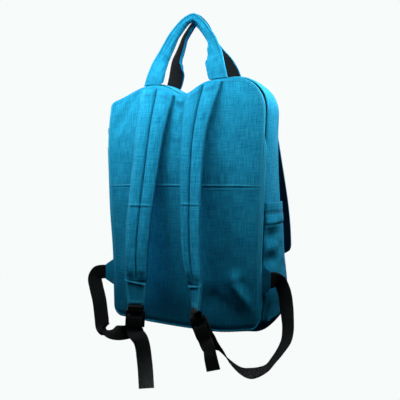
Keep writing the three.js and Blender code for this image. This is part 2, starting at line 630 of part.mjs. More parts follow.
// Place across a handle's cloth, measured in from its outer edge: it shows for a width, then turns under.
function foldedPoint(inward, offset, show, wide) {
  const { radius, degrees, flat, ease } = HANDLE_FOLD;
  if (inward <= show) return { s: -inward, n: offset };
  const curl = THREE.MathUtils.clamp((wide - show - flat) / ease, 1e-3, 1);
  const turn = radius / curl;
  const bend = radius * radians(degrees);
  const angle = Math.min(inward - show, bend) / turn;
  const past = Math.max(inward - show - bend, 0);
  const s = -show - turn * Math.sin(angle) - past * Math.cos(angle) - offset * Math.sin(angle);
  const n = -turn * (1 - Math.cos(angle)) - past * Math.sin(angle) + offset * Math.cos(angle);
  return { s, n };
}

function makeHandle(name, facing, footY) {
  const arch = HANDLE_ARCHES[name];
  const legRow = (edge, shown) => (row) => {
    const y = lerp(Math.abs(footY), GRIP_OFFSET, row.lean);
    return { point: new THREE.Vector3(row[edge], y, TOP_Z + row.rise), show: row[shown], wide: row.wide };
  };
  const left = arch.slice(0, -1).map(legRow("left", "showLeft"));
  const right = arch.map(legRow("right", "showRight")).reverse();
  const rows = [...left, ...right];
  const curve = new THREE.CatmullRomCurve3(rows.map((row) => row.point), false, "centripetal");
  const steps = rows.length - 1;
  const outward = new THREE.Vector3(0, 1, 0);
  const stations = rows.map((row, i) => {
    const tangent = curve.getTangent(i / steps);
    const normal = outward.clone().addScaledVector(tangent, -outward.dot(tangent)).normalize();
    const side = new THREE.Vector3().crossVectors(normal, tangent).negate();
    return { ...row, normal, side };
  });
  const bendSteps = 3;
  const strip = (trim, offset) => (i, j) => {
    const { point, normal, side, show, wide } = stations[i];
    const bend = Math.min(HANDLE_FOLD.radius * radians(HANDLE_FOLD.degrees), 0.7 * (wide - show));
    const bent = show + (bend * (j - 1)) / bendSteps;
    const inward = j === 0 ? trim : j === bendSteps + 2 ? wide - trim : bent;
    const { s, n } = foldedPoint(inward, offset, show, wide);
    const place = point.clone().addScaledVector(side, s).addScaledVector(normal, n);
    if (i === 0 || i === steps) place.z = TOP_Z + sag(place.x, BAG_HEIGHT) + HANDLE.seat;
    place.y *= facing;
    return place;
  };
  const columns = bendSteps + 2;
  const { cover, webbing, between, trim } = HANDLE;
  addMesh(`handle_${name}_cover`, sheetSolid(steps, columns, strip(0, cover), strip(0, 0)), canvasBlue);
  const inside = sheetSolid(steps, columns, strip(trim, -between), strip(trim, -between - webbing));
  addMesh(`handle_${name}_webbing`, inside, webbingBlack);
}

// Shoulder straps

const strapShares = [-1, -0.9, -0.55, -0.16, 0, 0.16, 0.55, 0.9, 1];

// Height of the padding over a strap's middle plane, with the stitched groove along its centre.
function strapPad(share, pad) {
  const crown = 1 - Math.abs(share) ** 3;
  const groove = 1 - STRAP_GROOVE.depth * Math.exp(-((share / STRAP_GROOVE.width) ** 2));
  return pad * crown * groove;
}

function makeStrap(name, rows) {
  const drops = [];
  rows.forEach((row, k) => {
    drops.push(row.drop);
    const next = rows[k + 1];
    if (next && next.drop - row.drop > 25) drops.push((row.drop + next.drop) / 2);
  });
  const row = (drop) => {
    const turn = radians(read(rows, "drop", "turn", drop));
    return {
      centre: new THREE.Vector3(read(rows, "drop", "x", drop), read(rows, "drop", "y", drop), TOP_Z - drop),
      across: new THREE.Vector3(Math.cos(turn), Math.sin(turn), 0),
      half: read(rows, "drop", "width", drop) / 2,
      pad: read(rows, "drop", "pad", drop),
    };
  };
  const face = (front) => (i, j) => {
    const { centre, across, half, pad } = row(drops[i]);
    const outward = new THREE.Vector3().crossVectors(across, UP);
    const padding = strapPad(strapShares[j], pad);
    const under = -STRAP_RIM / 2 - (1 - STRAP_OVER) * padding;
    const over = STRAP_RIM / 2 + STRAP_OVER * padding;
    const point = centre.clone().addScaledVector(across, strapShares[j] * half);
    point.z += sag(point.x, BAG_HEIGHT) * (1 - smoothstep(drops[i], 0, VALLEY.strapFade));
    point.y = Math.min(point.y, backFace(point.x, point.z) + under - 2 * GAP);
    return point.addScaledVector(outward, front ? over : under);
  };
  addMesh(name, sheetSolid(drops.length - 1, strapShares.length - 1, face(true), face(false)), canvasBlue);
}

// Frame of a ladder lock at the end of its strap: across its bars, down and forward.
function lockFrame(side) {
  const rows = STRAPS[side];
  const end = rows[rows.length - 1];
  const { hang } = LOCK_HANGS[side];
  const turn = radians(LOCK_HANGS[side].turn);
  const lean = radians(LOCK_HANGS[side].lean);
  const along = new THREE.Vector3(Math.cos(turn), Math.sin(turn), 0);
  const forward = new THREE.Vector3().crossVectors(along, UP);
  const across = along.clone().multiplyScalar(Math.cos(lean)).addScaledVector(UP, Math.sin(lean));
  const down = along.clone().multiplyScalar(Math.sin(lean)).addScaledVector(UP, -Math.cos(lean));
  const level = widthDirection(end.turn, 0);
  const strapEnd = new THREE.Vector3(end.x, end.y, TOP_Z - end.drop - 2 * GAP);
  const origin = strapEnd.clone().addScaledVector(along, hang * Math.sin(lean / 2));
  origin.addScaledVector(UP, -hang * Math.cos(lean / 2));
  const at = (w, d, f) =>
    origin.clone().addScaledVector(across, w).addScaledVector(down, d).addScaledVector(forward, f);
  return { origin, across, down, forward, at, level, strapEnd, hang };
}

const middleBar = LOCK.top / 2 + LOCK.slot + LOCK.middle / 2;
const lockLow = middleBar + LOCK.middle / 2 + LOCK.slot + LOCK.bottom;

function makeLadderLock(name, side) {
  const half = LOCK.width / 2;
  const clear = half - LOCK.rail;
  const plate = new THREE.Shape();
  plate.moveTo(-half, LOCK.top / 2);
  plate.lineTo(-half, -lockLow);
  plate.lineTo(half, -lockLow);
  plate.lineTo(half, LOCK.top / 2);
  plate.closePath();
  for (const slotTop of [-LOCK.top / 2, -middleBar - LOCK.middle / 2]) {
    const slot = new THREE.Path();
    slot.moveTo(-clear, slotTop);
    slot.lineTo(clear, slotTop);
    slot.lineTo(clear, slotTop - LOCK.slot);
    slot.lineTo(-clear, slotTop - LOCK.slot);
    slot.closePath();
    plate.holes.push(slot);
  }
  const body = new THREE.ExtrudeGeometry(plate, { depth: LOCK.thickness, bevelEnabled: false });
  body.translate(0, 0, -LOCK.thickness / 2);
  const lock = addMesh(name, body, plasticBlack);
  const { origin, across, down, forward } = lockFrame(side);
  lock.matrixAutoUpdate = false;
  lock.matrix.makeBasis(across, down.clone().negate(), forward).setPosition(origin);
}

// Ribbon through rows of a point, a width direction and a width.
function ribbon(rows, thickness, stepsEach) {
  const curve = new THREE.CatmullRomCurve3(rows.map((row) => row.point), false, "centripetal");
  const sides = new THREE.CatmullRomCurve3(rows.map((row) => row.across), false, "centripetal");
  const steps = stepsEach * (rows.length - 1);
  const stations = [];
  for (let i = 0; i <= steps; i++) {
    const t = i / steps;
    const tangent = curve.getTangent(t);
    const raw = sides.getPoint(t);
    const across = raw.addScaledVector(tangent, -raw.dot(tangent)).normalize();
    const low = rows[Math.floor(i / stepsEach)].width;
    const high = rows[Math.min(Math.floor(i / stepsEach) + 1, rows.length - 1)].width;
    const width = lerp(low, high, (i % stepsEach) / stepsEach);
    const normal = new THREE.Vector3().crossVectors(across, tangent);
    stations.push({ centre: curve.getPoint(t), across, normal, width });
  }
  const face = (offset) => (i, j) => {
    const { centre, across, normal, width } = stations[i];
    return centre.clone().addScaledVector(across, (j - 0.5) * width).addScaledVector(normal, offset);
  };
  return sheetSolid(steps, 1, face(thickness / 2), face(-thickness / 2));
}

function widthDirection(turn, tip) {
  const [a, b] = [radians(turn), radians(tip)];
  return new THREE.Vector3(Math.cos(a) * Math.cos(b), Math.sin(a) * Math.cos(b), Math.sin(b));
}

const webbingRow = (row) => ({
  point: new THREE.Vector3(row.x, row.y, TOP_Z - row.drop),
  across: widthDirection(row.turn, row.tip),
  width: WEBBING.width,
});

// Short webbing loop that carries the lock's top bar from the strap's end.
function makeBuckleLoop(name, side) {
  const { across, at, level, strapEnd, hang } = lockFrame(side);
  const ahead = new THREE.Vector3().crossVectors(level, UP);
  const turn = LOCK.top / 2 + WEBBING.thickness / 2 + 4 * GAP;
  const width = WEBBING.width;
  const leg = (sign) => {
    const top = strapEnd.clone().addScaledVector(ahead, sign * (WEBBING.thickness / 2 + GAP));
    const below = strapEnd.clone().addScaledVector(ahead, sign * turn).addScaledVector(UP, -hang / 4);
    return [top, below].map((point) => ({ point, across: level, width }));
  };
  const over = (sign) => ({ point: at(0, -hang / 2.5, sign * turn), across, width });
  const round = [];
  for (let k = 0; k <= 4; k++) {
    const angle = (Math.PI * k) / 4;
    const point = at(0, turn * Math.sin(angle), -turn * Math.cos(angle));
    round.push({ point, across, width });
  }
  const loop = [...leg(-1), over(-1), ...round, over(1), ...leg(1).reverse()];
  addMesh(name, ribbon(loop, WEBBING.thickness, 1), webbingBlack);
}

// Canvas tab in the lower side seam and the point where its webbing starts.
function tabRows(side) {
  const { height, stand, tilt, out } = WEBBING_ROUTES[side].tab;
  const nx = side === "left" ? -1 : 1;
  const seat = onGusset({ x: nx * HALF_WIDTH, height, nx, nh: 0 }, 0, stand);
  const [rise, run] = [Math.sin(radians(tilt)), Math.cos(radians(tilt))];
  const direction = new THREE.Vector3(out.x * run, out.y * run, rise);
  const across = new THREE.Vector3(-out.x * rise, -out.y * rise, run).multiplyScalar(nx);
  const row = (reach, width) => ({ point: seat.clone().addScaledVector(direction, reach), across, width });
  const starts = [4 * GAP, TAB.lead].map((past) => row(TAB.reach + past, WEBBING.width));
  const foot = { ...row(0, TAB.foot), across: UP.clone().multiplyScalar(nx) };
  const normal = new THREE.Vector3().crossVectors(across, direction);
  return { foot, end: row(TAB.reach, TAB.end), starts, normal };
}

function makeStrapTab(name, side) {
  const { foot, end, normal } = tabRows(side);
  const face = (offset) => (i, j) => {
    const { point, across, width } = i === 0 ? foot : end;
    return point.clone().addScaledVector(across, (j - 0.5) * width).addScaledVector(normal, offset);
  };
  addMesh(name, sheetSolid(1, 1, face(TAB.thickness / 2), face(-TAB.thickness / 2)), canvasBlue);
}

function makeWebbing(name, side) {
  const { across, at } = lockFrame(side);
  const { route, tail } = WEBBING_ROUTES[side];
  const turn = LOCK.middle / 2 + WEBBING.thickness / 2 + 4.5 * GAP;
  const inLock = [
    at(0, lockLow + LOCK_RUN.inLow, -turn - LOCK_RUN.inBehind),
    at(0, lockLow - LOCK_RUN.slotLow, -turn - LOCK_RUN.slotBehind),
  ];
  for (let k = 0; k <= 4; k++) {
    const angle = (Math.PI * k) / 4;
    inLock.push(at(0, middleBar - turn * Math.sin(angle), -turn * Math.cos(angle)));
  }
  inLock.push(at(0, lockLow - LOCK_RUN.outHigh, turn + LOCK_RUN.outAhead));
  inLock.push(at(0, lockLow + LOCK_RUN.outLow, turn));
  const locked = inLock.map((point) => ({ point, across, width: WEBBING.width }));
  const rows = [...tabRows(side).starts, ...route.map(webbingRow), ...locked, ...tail.map(webbingRow)];
  addMesh(name, ribbon(rows, WEBBING.thickness, 2), webbingBlack);
}

makeBackPanel();
makeFrontPanel();
makeGusset();
makeBasePanel();
makeSeamWelt();
makeZipTapes();
makeZipSlider();
makeSidePocket("side_pocket_left", -1);
makeSidePocket("side_pocket_right", 1);
makeFrontPocket();
makeFrontFlap();
makeHandle("back", -1, section("back", BAG_HEIGHT) + BACK_WALL / 2);
makeHandle("front", 1, section("front", BAG_HEIGHT) + HANDLE.between);
for (const side of ["left", "right"]) {
  makeStrap(`shoulder_strap_${side}`, STRAPS[side]);
  makeBuckleLoop(`buckle_loop_${side}`, side);
  makeLadderLock(`ladder_lock_${side}`, side);
  makeStrapTab(`strap_tab_${side}`, side);
  makeWebbing(`webbing_${side}`, side);
}

export default part;
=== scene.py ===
"""Dresses a canvas backpack that hangs by its two handles, harness side to the viewer.

Pattern sizes are in millimetres and meshes in metres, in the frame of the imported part:
+Z up, origin at the hang point, -Y the harness side, +X the right of the harness side.
"""

import json
import logging
import math
from dataclasses import dataclass, field
from enum import Enum
from functools import reduce
from typing import Callable, Sequence, Union

import bmesh
import bpy
import numpy as np
from mathutils import Matrix, Vector
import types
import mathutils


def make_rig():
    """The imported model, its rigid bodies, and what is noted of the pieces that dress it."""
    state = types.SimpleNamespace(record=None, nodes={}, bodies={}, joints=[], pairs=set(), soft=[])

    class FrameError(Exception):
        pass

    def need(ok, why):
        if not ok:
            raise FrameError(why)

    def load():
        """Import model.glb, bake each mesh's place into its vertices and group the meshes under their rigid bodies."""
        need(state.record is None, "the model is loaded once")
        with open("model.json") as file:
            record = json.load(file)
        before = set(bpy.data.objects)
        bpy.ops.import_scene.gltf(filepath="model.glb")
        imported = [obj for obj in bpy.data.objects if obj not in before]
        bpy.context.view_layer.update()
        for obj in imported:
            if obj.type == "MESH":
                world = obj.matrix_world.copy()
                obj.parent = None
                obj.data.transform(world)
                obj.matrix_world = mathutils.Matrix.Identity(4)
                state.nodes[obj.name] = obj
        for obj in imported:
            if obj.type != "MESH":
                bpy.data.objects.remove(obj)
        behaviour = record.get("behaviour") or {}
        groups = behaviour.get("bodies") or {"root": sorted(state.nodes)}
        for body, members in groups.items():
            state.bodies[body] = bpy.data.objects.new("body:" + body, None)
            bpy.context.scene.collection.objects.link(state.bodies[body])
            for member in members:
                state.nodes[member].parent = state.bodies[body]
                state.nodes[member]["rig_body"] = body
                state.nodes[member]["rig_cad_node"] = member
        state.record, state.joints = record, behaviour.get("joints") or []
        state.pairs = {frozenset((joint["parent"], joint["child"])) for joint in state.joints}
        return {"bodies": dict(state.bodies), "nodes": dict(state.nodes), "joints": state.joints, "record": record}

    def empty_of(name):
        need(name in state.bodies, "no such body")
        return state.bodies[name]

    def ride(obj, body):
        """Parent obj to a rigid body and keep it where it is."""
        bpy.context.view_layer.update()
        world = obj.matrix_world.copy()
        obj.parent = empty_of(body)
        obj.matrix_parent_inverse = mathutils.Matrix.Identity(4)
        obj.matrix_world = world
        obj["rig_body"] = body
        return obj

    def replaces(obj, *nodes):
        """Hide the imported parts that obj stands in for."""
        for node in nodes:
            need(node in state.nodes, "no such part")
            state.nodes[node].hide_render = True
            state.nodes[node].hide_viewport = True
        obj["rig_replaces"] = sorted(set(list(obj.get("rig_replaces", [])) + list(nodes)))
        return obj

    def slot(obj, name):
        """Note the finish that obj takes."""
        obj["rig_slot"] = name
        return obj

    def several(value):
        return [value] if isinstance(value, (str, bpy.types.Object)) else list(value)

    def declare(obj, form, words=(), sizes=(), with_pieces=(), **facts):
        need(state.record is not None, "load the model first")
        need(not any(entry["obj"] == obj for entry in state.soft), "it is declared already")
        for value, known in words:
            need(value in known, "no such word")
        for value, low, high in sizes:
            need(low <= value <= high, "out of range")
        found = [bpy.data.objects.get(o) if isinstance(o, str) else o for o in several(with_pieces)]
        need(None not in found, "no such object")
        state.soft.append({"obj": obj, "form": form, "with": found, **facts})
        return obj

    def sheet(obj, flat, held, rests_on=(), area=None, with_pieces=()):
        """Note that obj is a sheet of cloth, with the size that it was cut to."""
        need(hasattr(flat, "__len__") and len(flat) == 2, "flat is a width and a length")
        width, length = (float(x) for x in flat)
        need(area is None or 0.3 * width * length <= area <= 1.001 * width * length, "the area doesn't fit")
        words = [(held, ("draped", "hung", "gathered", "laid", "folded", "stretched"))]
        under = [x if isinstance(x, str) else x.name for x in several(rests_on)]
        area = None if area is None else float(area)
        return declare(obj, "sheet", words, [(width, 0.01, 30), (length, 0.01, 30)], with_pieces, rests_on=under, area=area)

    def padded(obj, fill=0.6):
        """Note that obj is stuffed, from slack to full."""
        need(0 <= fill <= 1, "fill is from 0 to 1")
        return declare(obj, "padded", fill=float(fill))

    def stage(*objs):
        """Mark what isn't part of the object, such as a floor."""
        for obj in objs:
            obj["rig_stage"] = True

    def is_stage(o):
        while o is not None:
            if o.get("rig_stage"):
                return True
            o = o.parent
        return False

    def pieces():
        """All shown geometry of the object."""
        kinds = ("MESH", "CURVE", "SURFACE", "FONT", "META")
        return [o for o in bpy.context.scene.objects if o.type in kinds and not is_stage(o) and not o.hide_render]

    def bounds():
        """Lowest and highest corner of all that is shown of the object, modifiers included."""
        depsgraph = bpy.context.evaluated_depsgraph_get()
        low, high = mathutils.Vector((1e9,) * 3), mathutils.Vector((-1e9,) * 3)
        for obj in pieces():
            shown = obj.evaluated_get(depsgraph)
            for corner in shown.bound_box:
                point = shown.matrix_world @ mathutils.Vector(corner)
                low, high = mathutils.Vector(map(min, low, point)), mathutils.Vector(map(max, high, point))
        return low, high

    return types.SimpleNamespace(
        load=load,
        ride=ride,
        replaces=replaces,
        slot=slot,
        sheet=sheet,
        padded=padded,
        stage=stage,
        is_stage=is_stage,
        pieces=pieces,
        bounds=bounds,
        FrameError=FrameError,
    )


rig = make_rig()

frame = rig.load()
CAD_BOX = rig.bounds()

LOG = logging.getLogger("backpack")
MM = 0.001
WEAVE = "weave"
# Point attribute of wear and painted light: above 0 pale from wear and painted highlight, below 0 painted shade.
WEAR_AND_SHADE = "rub"
UP = np.array((0.0, 0.0, 1.0))
ASKEW = np.array((0.13, 1.0, 0.21))
SHARP = 0.5
PLASTIC_CREASE = 35.0

Array = np.ndarray
Number = Union[float, Array]
Colour = tuple[float, float, float]
Place = tuple[float, float]
Route = tuple[tuple[float, float, float, float, float], ...]


class Slot(Enum):
    """Material slots of the part's record."""

    CANVAS = "canvas"
    WEBBING = "webbing"
    PLASTIC = "plastic"


class Side(Enum):
    """Left or right of the harness side, as the sign of X."""

    LEFT = -1
    RIGHT = 1


class Hold(Enum):
    """How a cloth is held in the finished bag."""

    HUNG = "hung"
    GATHERED = "gathered"
    FOLDED = "folded"
    STRETCHED = "stretched"


# Small helpers for shapes


def smooth(value: Number, low: float, high: float) -> Array:
    """Eases from 0 at low to 1 at high."""
    share = np.clip((np.asarray(value, dtype=float) - low) / (high - low), 0.0, 1.0)
    return share * share * (3.0 - 2.0 * share)


def blend(first: Number, second: Number, share: Number) -> Array:
    """Goes from first to second by a share."""
    return first + (second - first) * share


def bell(value: Number, centre: float, spread: float) -> Array:
    """Soft bump of height 1 about a centre."""
    return np.exp(-(((np.asarray(value, dtype=float) - centre) / spread) ** 2))


def unit(vectors: Array) -> Array:
    """Vectors scaled to length 1."""
    return vectors / np.maximum(np.linalg.norm(vectors, axis=-1, keepdims=True), 1e-12)


def arc_lengths(points: Array) -> Array:
    """Distance along a line of points from its start."""
    steps = np.linalg.norm(np.diff(points, axis=0), axis=1)
    return np.concatenate(([0.0], np.cumsum(steps)))


def pointing(turn: float, tip: float) -> Array:
    """Direction turned about the vertical and tipped upwards, both in degrees."""
    a, b = math.radians(turn), math.radians(tip)
    return np.array((math.cos(a) * math.cos(b), math.sin(a) * math.cos(b), math.sin(b)))


def paired(first: Number, second: Number) -> Array:
    """Weave coordinates from places across and along."""
    return np.stack(np.broadcast_arrays(first, second), axis=-1)


def facing(direction: Sequence[float], count: int) -> Array:
    """One direction for each of a row of places."""
    return np.tile(direction, (count, 1))


@dataclass(frozen=True)
class Bump:
    """Soft rise of a value about a centre, or a hollow where rise is negative."""

    rise: float
    centre: float
    spread: float

    def at(self, value: Number) -> Array:
        """Height of the bump at a value."""
        return self.rise * bell(value, self.centre, self.spread)


@dataclass(frozen=True)
class Ramp:
    """Ease from 0 at its low end to 1 at its high end."""

    low: float
    high: float

    def up(self, value: Number) -> Array:
        """Share that has risen at a value."""
        return smooth(value, self.low, self.high)

    def down(self, value: Number) -> Array:
        """Share that is still to rise at a value."""
        return 1 - self.up(value)


@dataclass(frozen=True)
class Table:
    """Rows of named columns that are read on a cubic; the first column is the key."""

    names: tuple[str, ...]
    rows: tuple[tuple[float, ...], ...]

    def column(self, name: str) -> Array:
        """One column in the order of rising keys."""
        data = np.array(self.rows)
        return data[np.argsort(data[:, 0]), self.names.index(name)]

    def at(self, name: str, where: Number) -> Array:
        """Reads a column between its rows.

        Args:
            name: the column to read.
            where: keys to read it at.

        Returns:
            The column's values there.
        """
        keys, values = self.column(self.names[0]), self.column(name)
        count = len(keys)
        here = np.clip(where, keys[0], keys[-1])
        i = np.clip(np.searchsorted(keys, here, side="left") - 1, 0, count - 2)
        low = np.maximum(np.arange(count) - 1, 0)
        high = np.minimum(np.arange(count) + 1, count - 1)
        slope = (values[high] - values[low]) / (keys[high] - keys[low])
        span = keys[i + 1] - keys[i]
        t = (here - keys[i]) / span
        ends = t * (1 - t) * ((1 - t) * slope[i] - t * slope[i + 1]) * span
        return values[i] + (values[i + 1] - values[i]) * t * t * (3 - 2 * t) + ends


@dataclass(frozen=True)
class ClothNoise:
    """Layer of smooth repeatable unevenness, with its rise and the size of its bumps."""

    seed: int
    rise: float
    wide: float
    tall: float
    tile: int = 64
    peak: float = 1.5

    def at(self, across: Number, along: Number) -> Array:
        """Gradient noise of the layer.

        Args:
            across: places across the cloth.
            along: places along the cloth.

        Returns:
            The unevenness at each place, up to about the layer's rise either way.
        """
        turn = np.random.default_rng(self.seed).uniform(0, 2 * np.pi, (self.tile, self.tile))
        u, v = np.asarray(across, dtype=float) / self.wide, np.asarray(along, dtype=float) / self.tall
        u, v = np.broadcast_arrays(u, v)
        u0, v0 = np.floor(u).astype(int), np.floor(v).astype(int)
        fu, fv = u - u0, v - v0

        def corner(i: int, j: int) -> Array:
            """Slope of one lattice corner towards the place."""
            angle = turn[(u0 + i) % self.tile, (v0 + j) % self.tile]
            return np.cos(angle) * (fu - i) + np.sin(angle) * (fv - j)

        su = fu**3 * (fu * (fu * 6 - 15) + 10)
        sv = fv**3 * (fv * (fv * 6 - 15) + 10)
        low = blend(corner(0, 0), corner(1, 0), su)
        high = blend(corner(0, 1), corner(1, 1), su)
        return self.rise * (self.peak * blend(low, high, sv))


class SmoothRoute:
    """Smooth curve through points, evenly tight at near and far ones."""

    def __init__(self, points: Array) -> None:
        """Keeps the points and one mirrored point past each end.

        Args:
            points: the places that the curve passes, in order.
        """
        before, after = 2 * points[0] - points[1], 2 * points[-1] - points[-2]
        self.points = np.vstack((before, points, after))
        self.spans = len(points) - 1

    def at(self, share: float) -> Array:
        """Place on the curve.

        Args:
            share: how far along, from 0 to 1.

        Returns:
            The point there.
        """
        along = min(max(share, 0.0), 1.0) * self.spans
        i = min(int(along), self.spans - 1)
        t = along - i
        p = self.points[i : i + 4]
        gaps = [max(np.linalg.norm(p[k + 1] - p[k]) ** 0.5, 1e-4) for k in range(3)]
        a = (p[1] - p[0]) / gaps[0] - (p[2] - p[0]) / (gaps[0] + gaps[1])
        b = (p[2] - p[1]) / gaps[1] - (p[3] - p[1]) / (gaps[1] + gaps[2])
        start = (a + (p[2] - p[1]) / gaps[1]) * gaps[1]
        end = (b + (p[3] - p[2]) / gaps[2]) * gaps[1]
        rise = p[2] - p[1]
        second, third = 3 * rise - 2 * start - end, start + end - 2 * rise
        return p[1] + start * t + second * t**2 + third * t**3

    def sample(self, shares: Array) -> Array:
        """Places on the curve at each share."""
        return np.array([self.at(share) for share in shares])

    def tangents(self, shares: Array) -> Array:
        """Directions of travel.

        Args:
            shares: how far along each place lies.

        Returns:
            Unit vectors, one a place.
        """
        step = 1e-4
        ahead = self.sample(np.minimum(shares + step, 1.0))
        behind = self.sample(np.maximum(shares - step, 0.0))
        return unit(ahead - behind)


# Meshes


@dataclass
class Skin:
    """Points, faces and weave coordinates of one mesh, in millimetres."""

    points: Array
    faces: list[tuple[int, ...]]
    pattern: Array
    rub: Array | None = None

    def joined(self, other: "Skin") -> "Skin":
        """Both skins as one.

        Args:
            other: the skin to add.

        Returns:
            A new skin that holds both.
        """
        shift = len(self.points)
        faces = self.faces + [tuple(k + shift for k in face) for face in other.faces]
        pattern = np.vstack((self.pattern, other.pattern))
        return Skin(np.vstack((self.points, other.points)), faces, pattern)

    def build(self, name: str, crease: float = 50.0) -> bpy.types.Object:
        """Makes the mesh object.

        Args:
            name: the piece's name.
            crease: angle in degrees above which an edge stays sharp.

        Returns:
            The new object, linked to the scene.
        """
        mesh = bpy.data.meshes.new(name)
        mesh.from_pydata((self.points * MM).tolist(), [], self.faces)
        mesh.update()
        layer = mesh.uv_layers.new(name=WEAVE)
        index = np.empty(len(mesh.loops), dtype=np.int32)
        mesh.loops.foreach_get("vertex_index", index)
        layer.data.foreach_set("uv", (self.pattern[index] * MM).astype(np.float32).ravel())
        rub = self.rub if self.rub is not None else np.zeros(len(self.points))
        worn = mesh.attributes.new(WEAR_AND_SHADE, "FLOAT", "POINT")
        worn.data.foreach_set("value", rub.astype(np.float32))
        mesh.shade_smooth()
        mesh.set_sharp_from_angle(angle=math.radians(crease))
        piece = bpy.data.objects.new(name, mesh)
        bpy.context.scene.collection.objects.link(piece)
        return piece


def cloth_skin(outer: Array, inner: Array, pattern: Array, rub: Array | None = None) -> Skin:
    """Closed skin of a cloth from grids of its two faces.

    Args:
        outer: rows of columns of points of the outer face.
        inner: the same for the inner face.
        pattern: weave coordinates of each grid place.
        rub: wear and painted light and shade of each grid place, from -1, painted shade, to 1, pale from wear and
            painted highlight.

    Returns:
        The skin, with its faces turned outwards.
    """
    rows, columns = outer.shape[:2]
    ids = np.arange(2 * rows * columns).reshape(2, rows, columns)
    front, behind = ids

    def quads(a: Array, b: Array, c: Array, d: Array) -> Array:
        """Quads of four equal sets of corners."""
        return np.stack((a.ravel(), b.ravel(), c.ravel(), d.ravel()), axis=1)

    parts = [
        quads(front[:-1, :-1], front[:-1, 1:], front[1:, 1:], front[1:, :-1]),
        quads(behind[:-1, :-1], behind[1:, :-1], behind[1:, 1:], behind[:-1, 1:]),
        quads(front[:-1, 0], front[1:, 0], behind[1:, 0], behind[:-1, 0]),
        quads(front[1:, -1], front[:-1, -1], behind[:-1, -1], behind[1:, -1]),
        quads(front[0, 1:], front[0, :-1], behind[0, :-1], behind[0, 1:]),
        quads(front[-1, :-1], front[-1, 1:], behind[-1, 1:], behind[-1, :-1]),
    ]
    faces = np.vstack(parts)
    points = np.vstack((outer.reshape(-1, 3), inner.reshape(-1, 3)))
    a, b, c, d = (points[faces[:, k]] for k in range(4))
    volume = (a * np.cross(b, c)).sum() + (a * np.cross(c, d)).sum()
    if volume < 0:
        faces = faces[:, ::-1]
    flat = pattern.reshape(-1, 2)
    worn = None if rub is None else np.concatenate((rub.ravel(), rub.ravel()))
    return Skin(points, [tuple(face) for face in faces.tolist()], np.vstack((flat, flat)), worn)


def tube_skin(centres: Array, radii: Array, around: int = 10) -> Skin:
    """Round cord along a line of points.

    Args:
        centres: the middle line.
        radii: radius at each of its points.
        around: points in each ring.

    Returns:
        The closed skin.
    """
    tangents = unit(np.gradient(centres, axis=0))
    first = unit(np.cross(tangents, ASKEW))
    second = np.cross(tangents, first)
    angles = 2 * np.pi * np.arange(around) / around
    cos, sin = np.cos(angles)[None, :, None], np.sin(angles)[None, :, None]
    ring = cos * first[:, None] + sin * second[:, None]
    points = (centres[:, None] + radii[:, None, None] * ring).reshape(-1, 3)
    count = len(centres)
    ids = np.arange(count * around).reshape(count, around)
    wrap = np.roll(ids, -1, axis=1)
    stack = (ids[:-1], wrap[:-1], wrap[1:], ids[1:])
    faces = [tuple(face) for face in np.stack([part.ravel() for part in stack], axis=1).tolist()]
    faces += [tuple(ids[0][::-1].tolist()), tuple(ids[-1].tolist())]
    along = np.repeat(arc_lengths(centres), around)
    turned = np.tile(angles, count) * float(np.mean(radii))
    return Skin(points, faces, np.stack((turned, along), axis=1))


def all_joined(skins: Sequence[Skin]) -> Skin:
    """Skins as one, in their order."""
    return reduce(Skin.joined, skins)


def moulded(
    mesh: bmesh.types.BMesh, cells: Sequence[bmesh.types.BMFace], thick: float, bevel: float, steps: int
) -> tuple[Array, list[tuple[int, ...]]]:
    """Thickens flat cells into a moulding with rounded edges, and frees their mesh.

    Args:
        mesh: the mesh that holds the cells.
        cells: the flat faces.
        thick: how thick the moulding is.
        bevel: how far each sharp edge is cut back.
        steps: faces that round each edge.

    Returns:
        The moulding's points and faces, sorted so that every run gives the same order.
    """
    lifted = bmesh.ops.extrude_face_region(mesh, geom=list(cells))
    top = [part for part in lifted["geom"] if isinstance(part, bmesh.types.BMVert)]
    bmesh.ops.translate(mesh, verts=top, vec=(0.0, 0.0, thick))
    bmesh.ops.recalc_face_normals(mesh, faces=mesh.faces)
    sharp = [edge for edge in mesh.edges if edge.calc_face_angle(0.0) > SHARP]
    bmesh.ops.bevel(mesh, geom=sharp, offset=bevel, segments=steps, affect="EDGES", profile=0.5)
    mesh.verts.index_update()
    points = np.array([vert.co[:] for vert in mesh.verts])
    faces = [[vert.index for vert in face.verts] for face in mesh.faces]
    mesh.free()
    order = np.lexsort(points.T)
    rank = np.argsort(order)
    return points[order], sorted((tuple(rank[face].tolist()) for face in faces), key=sorted)


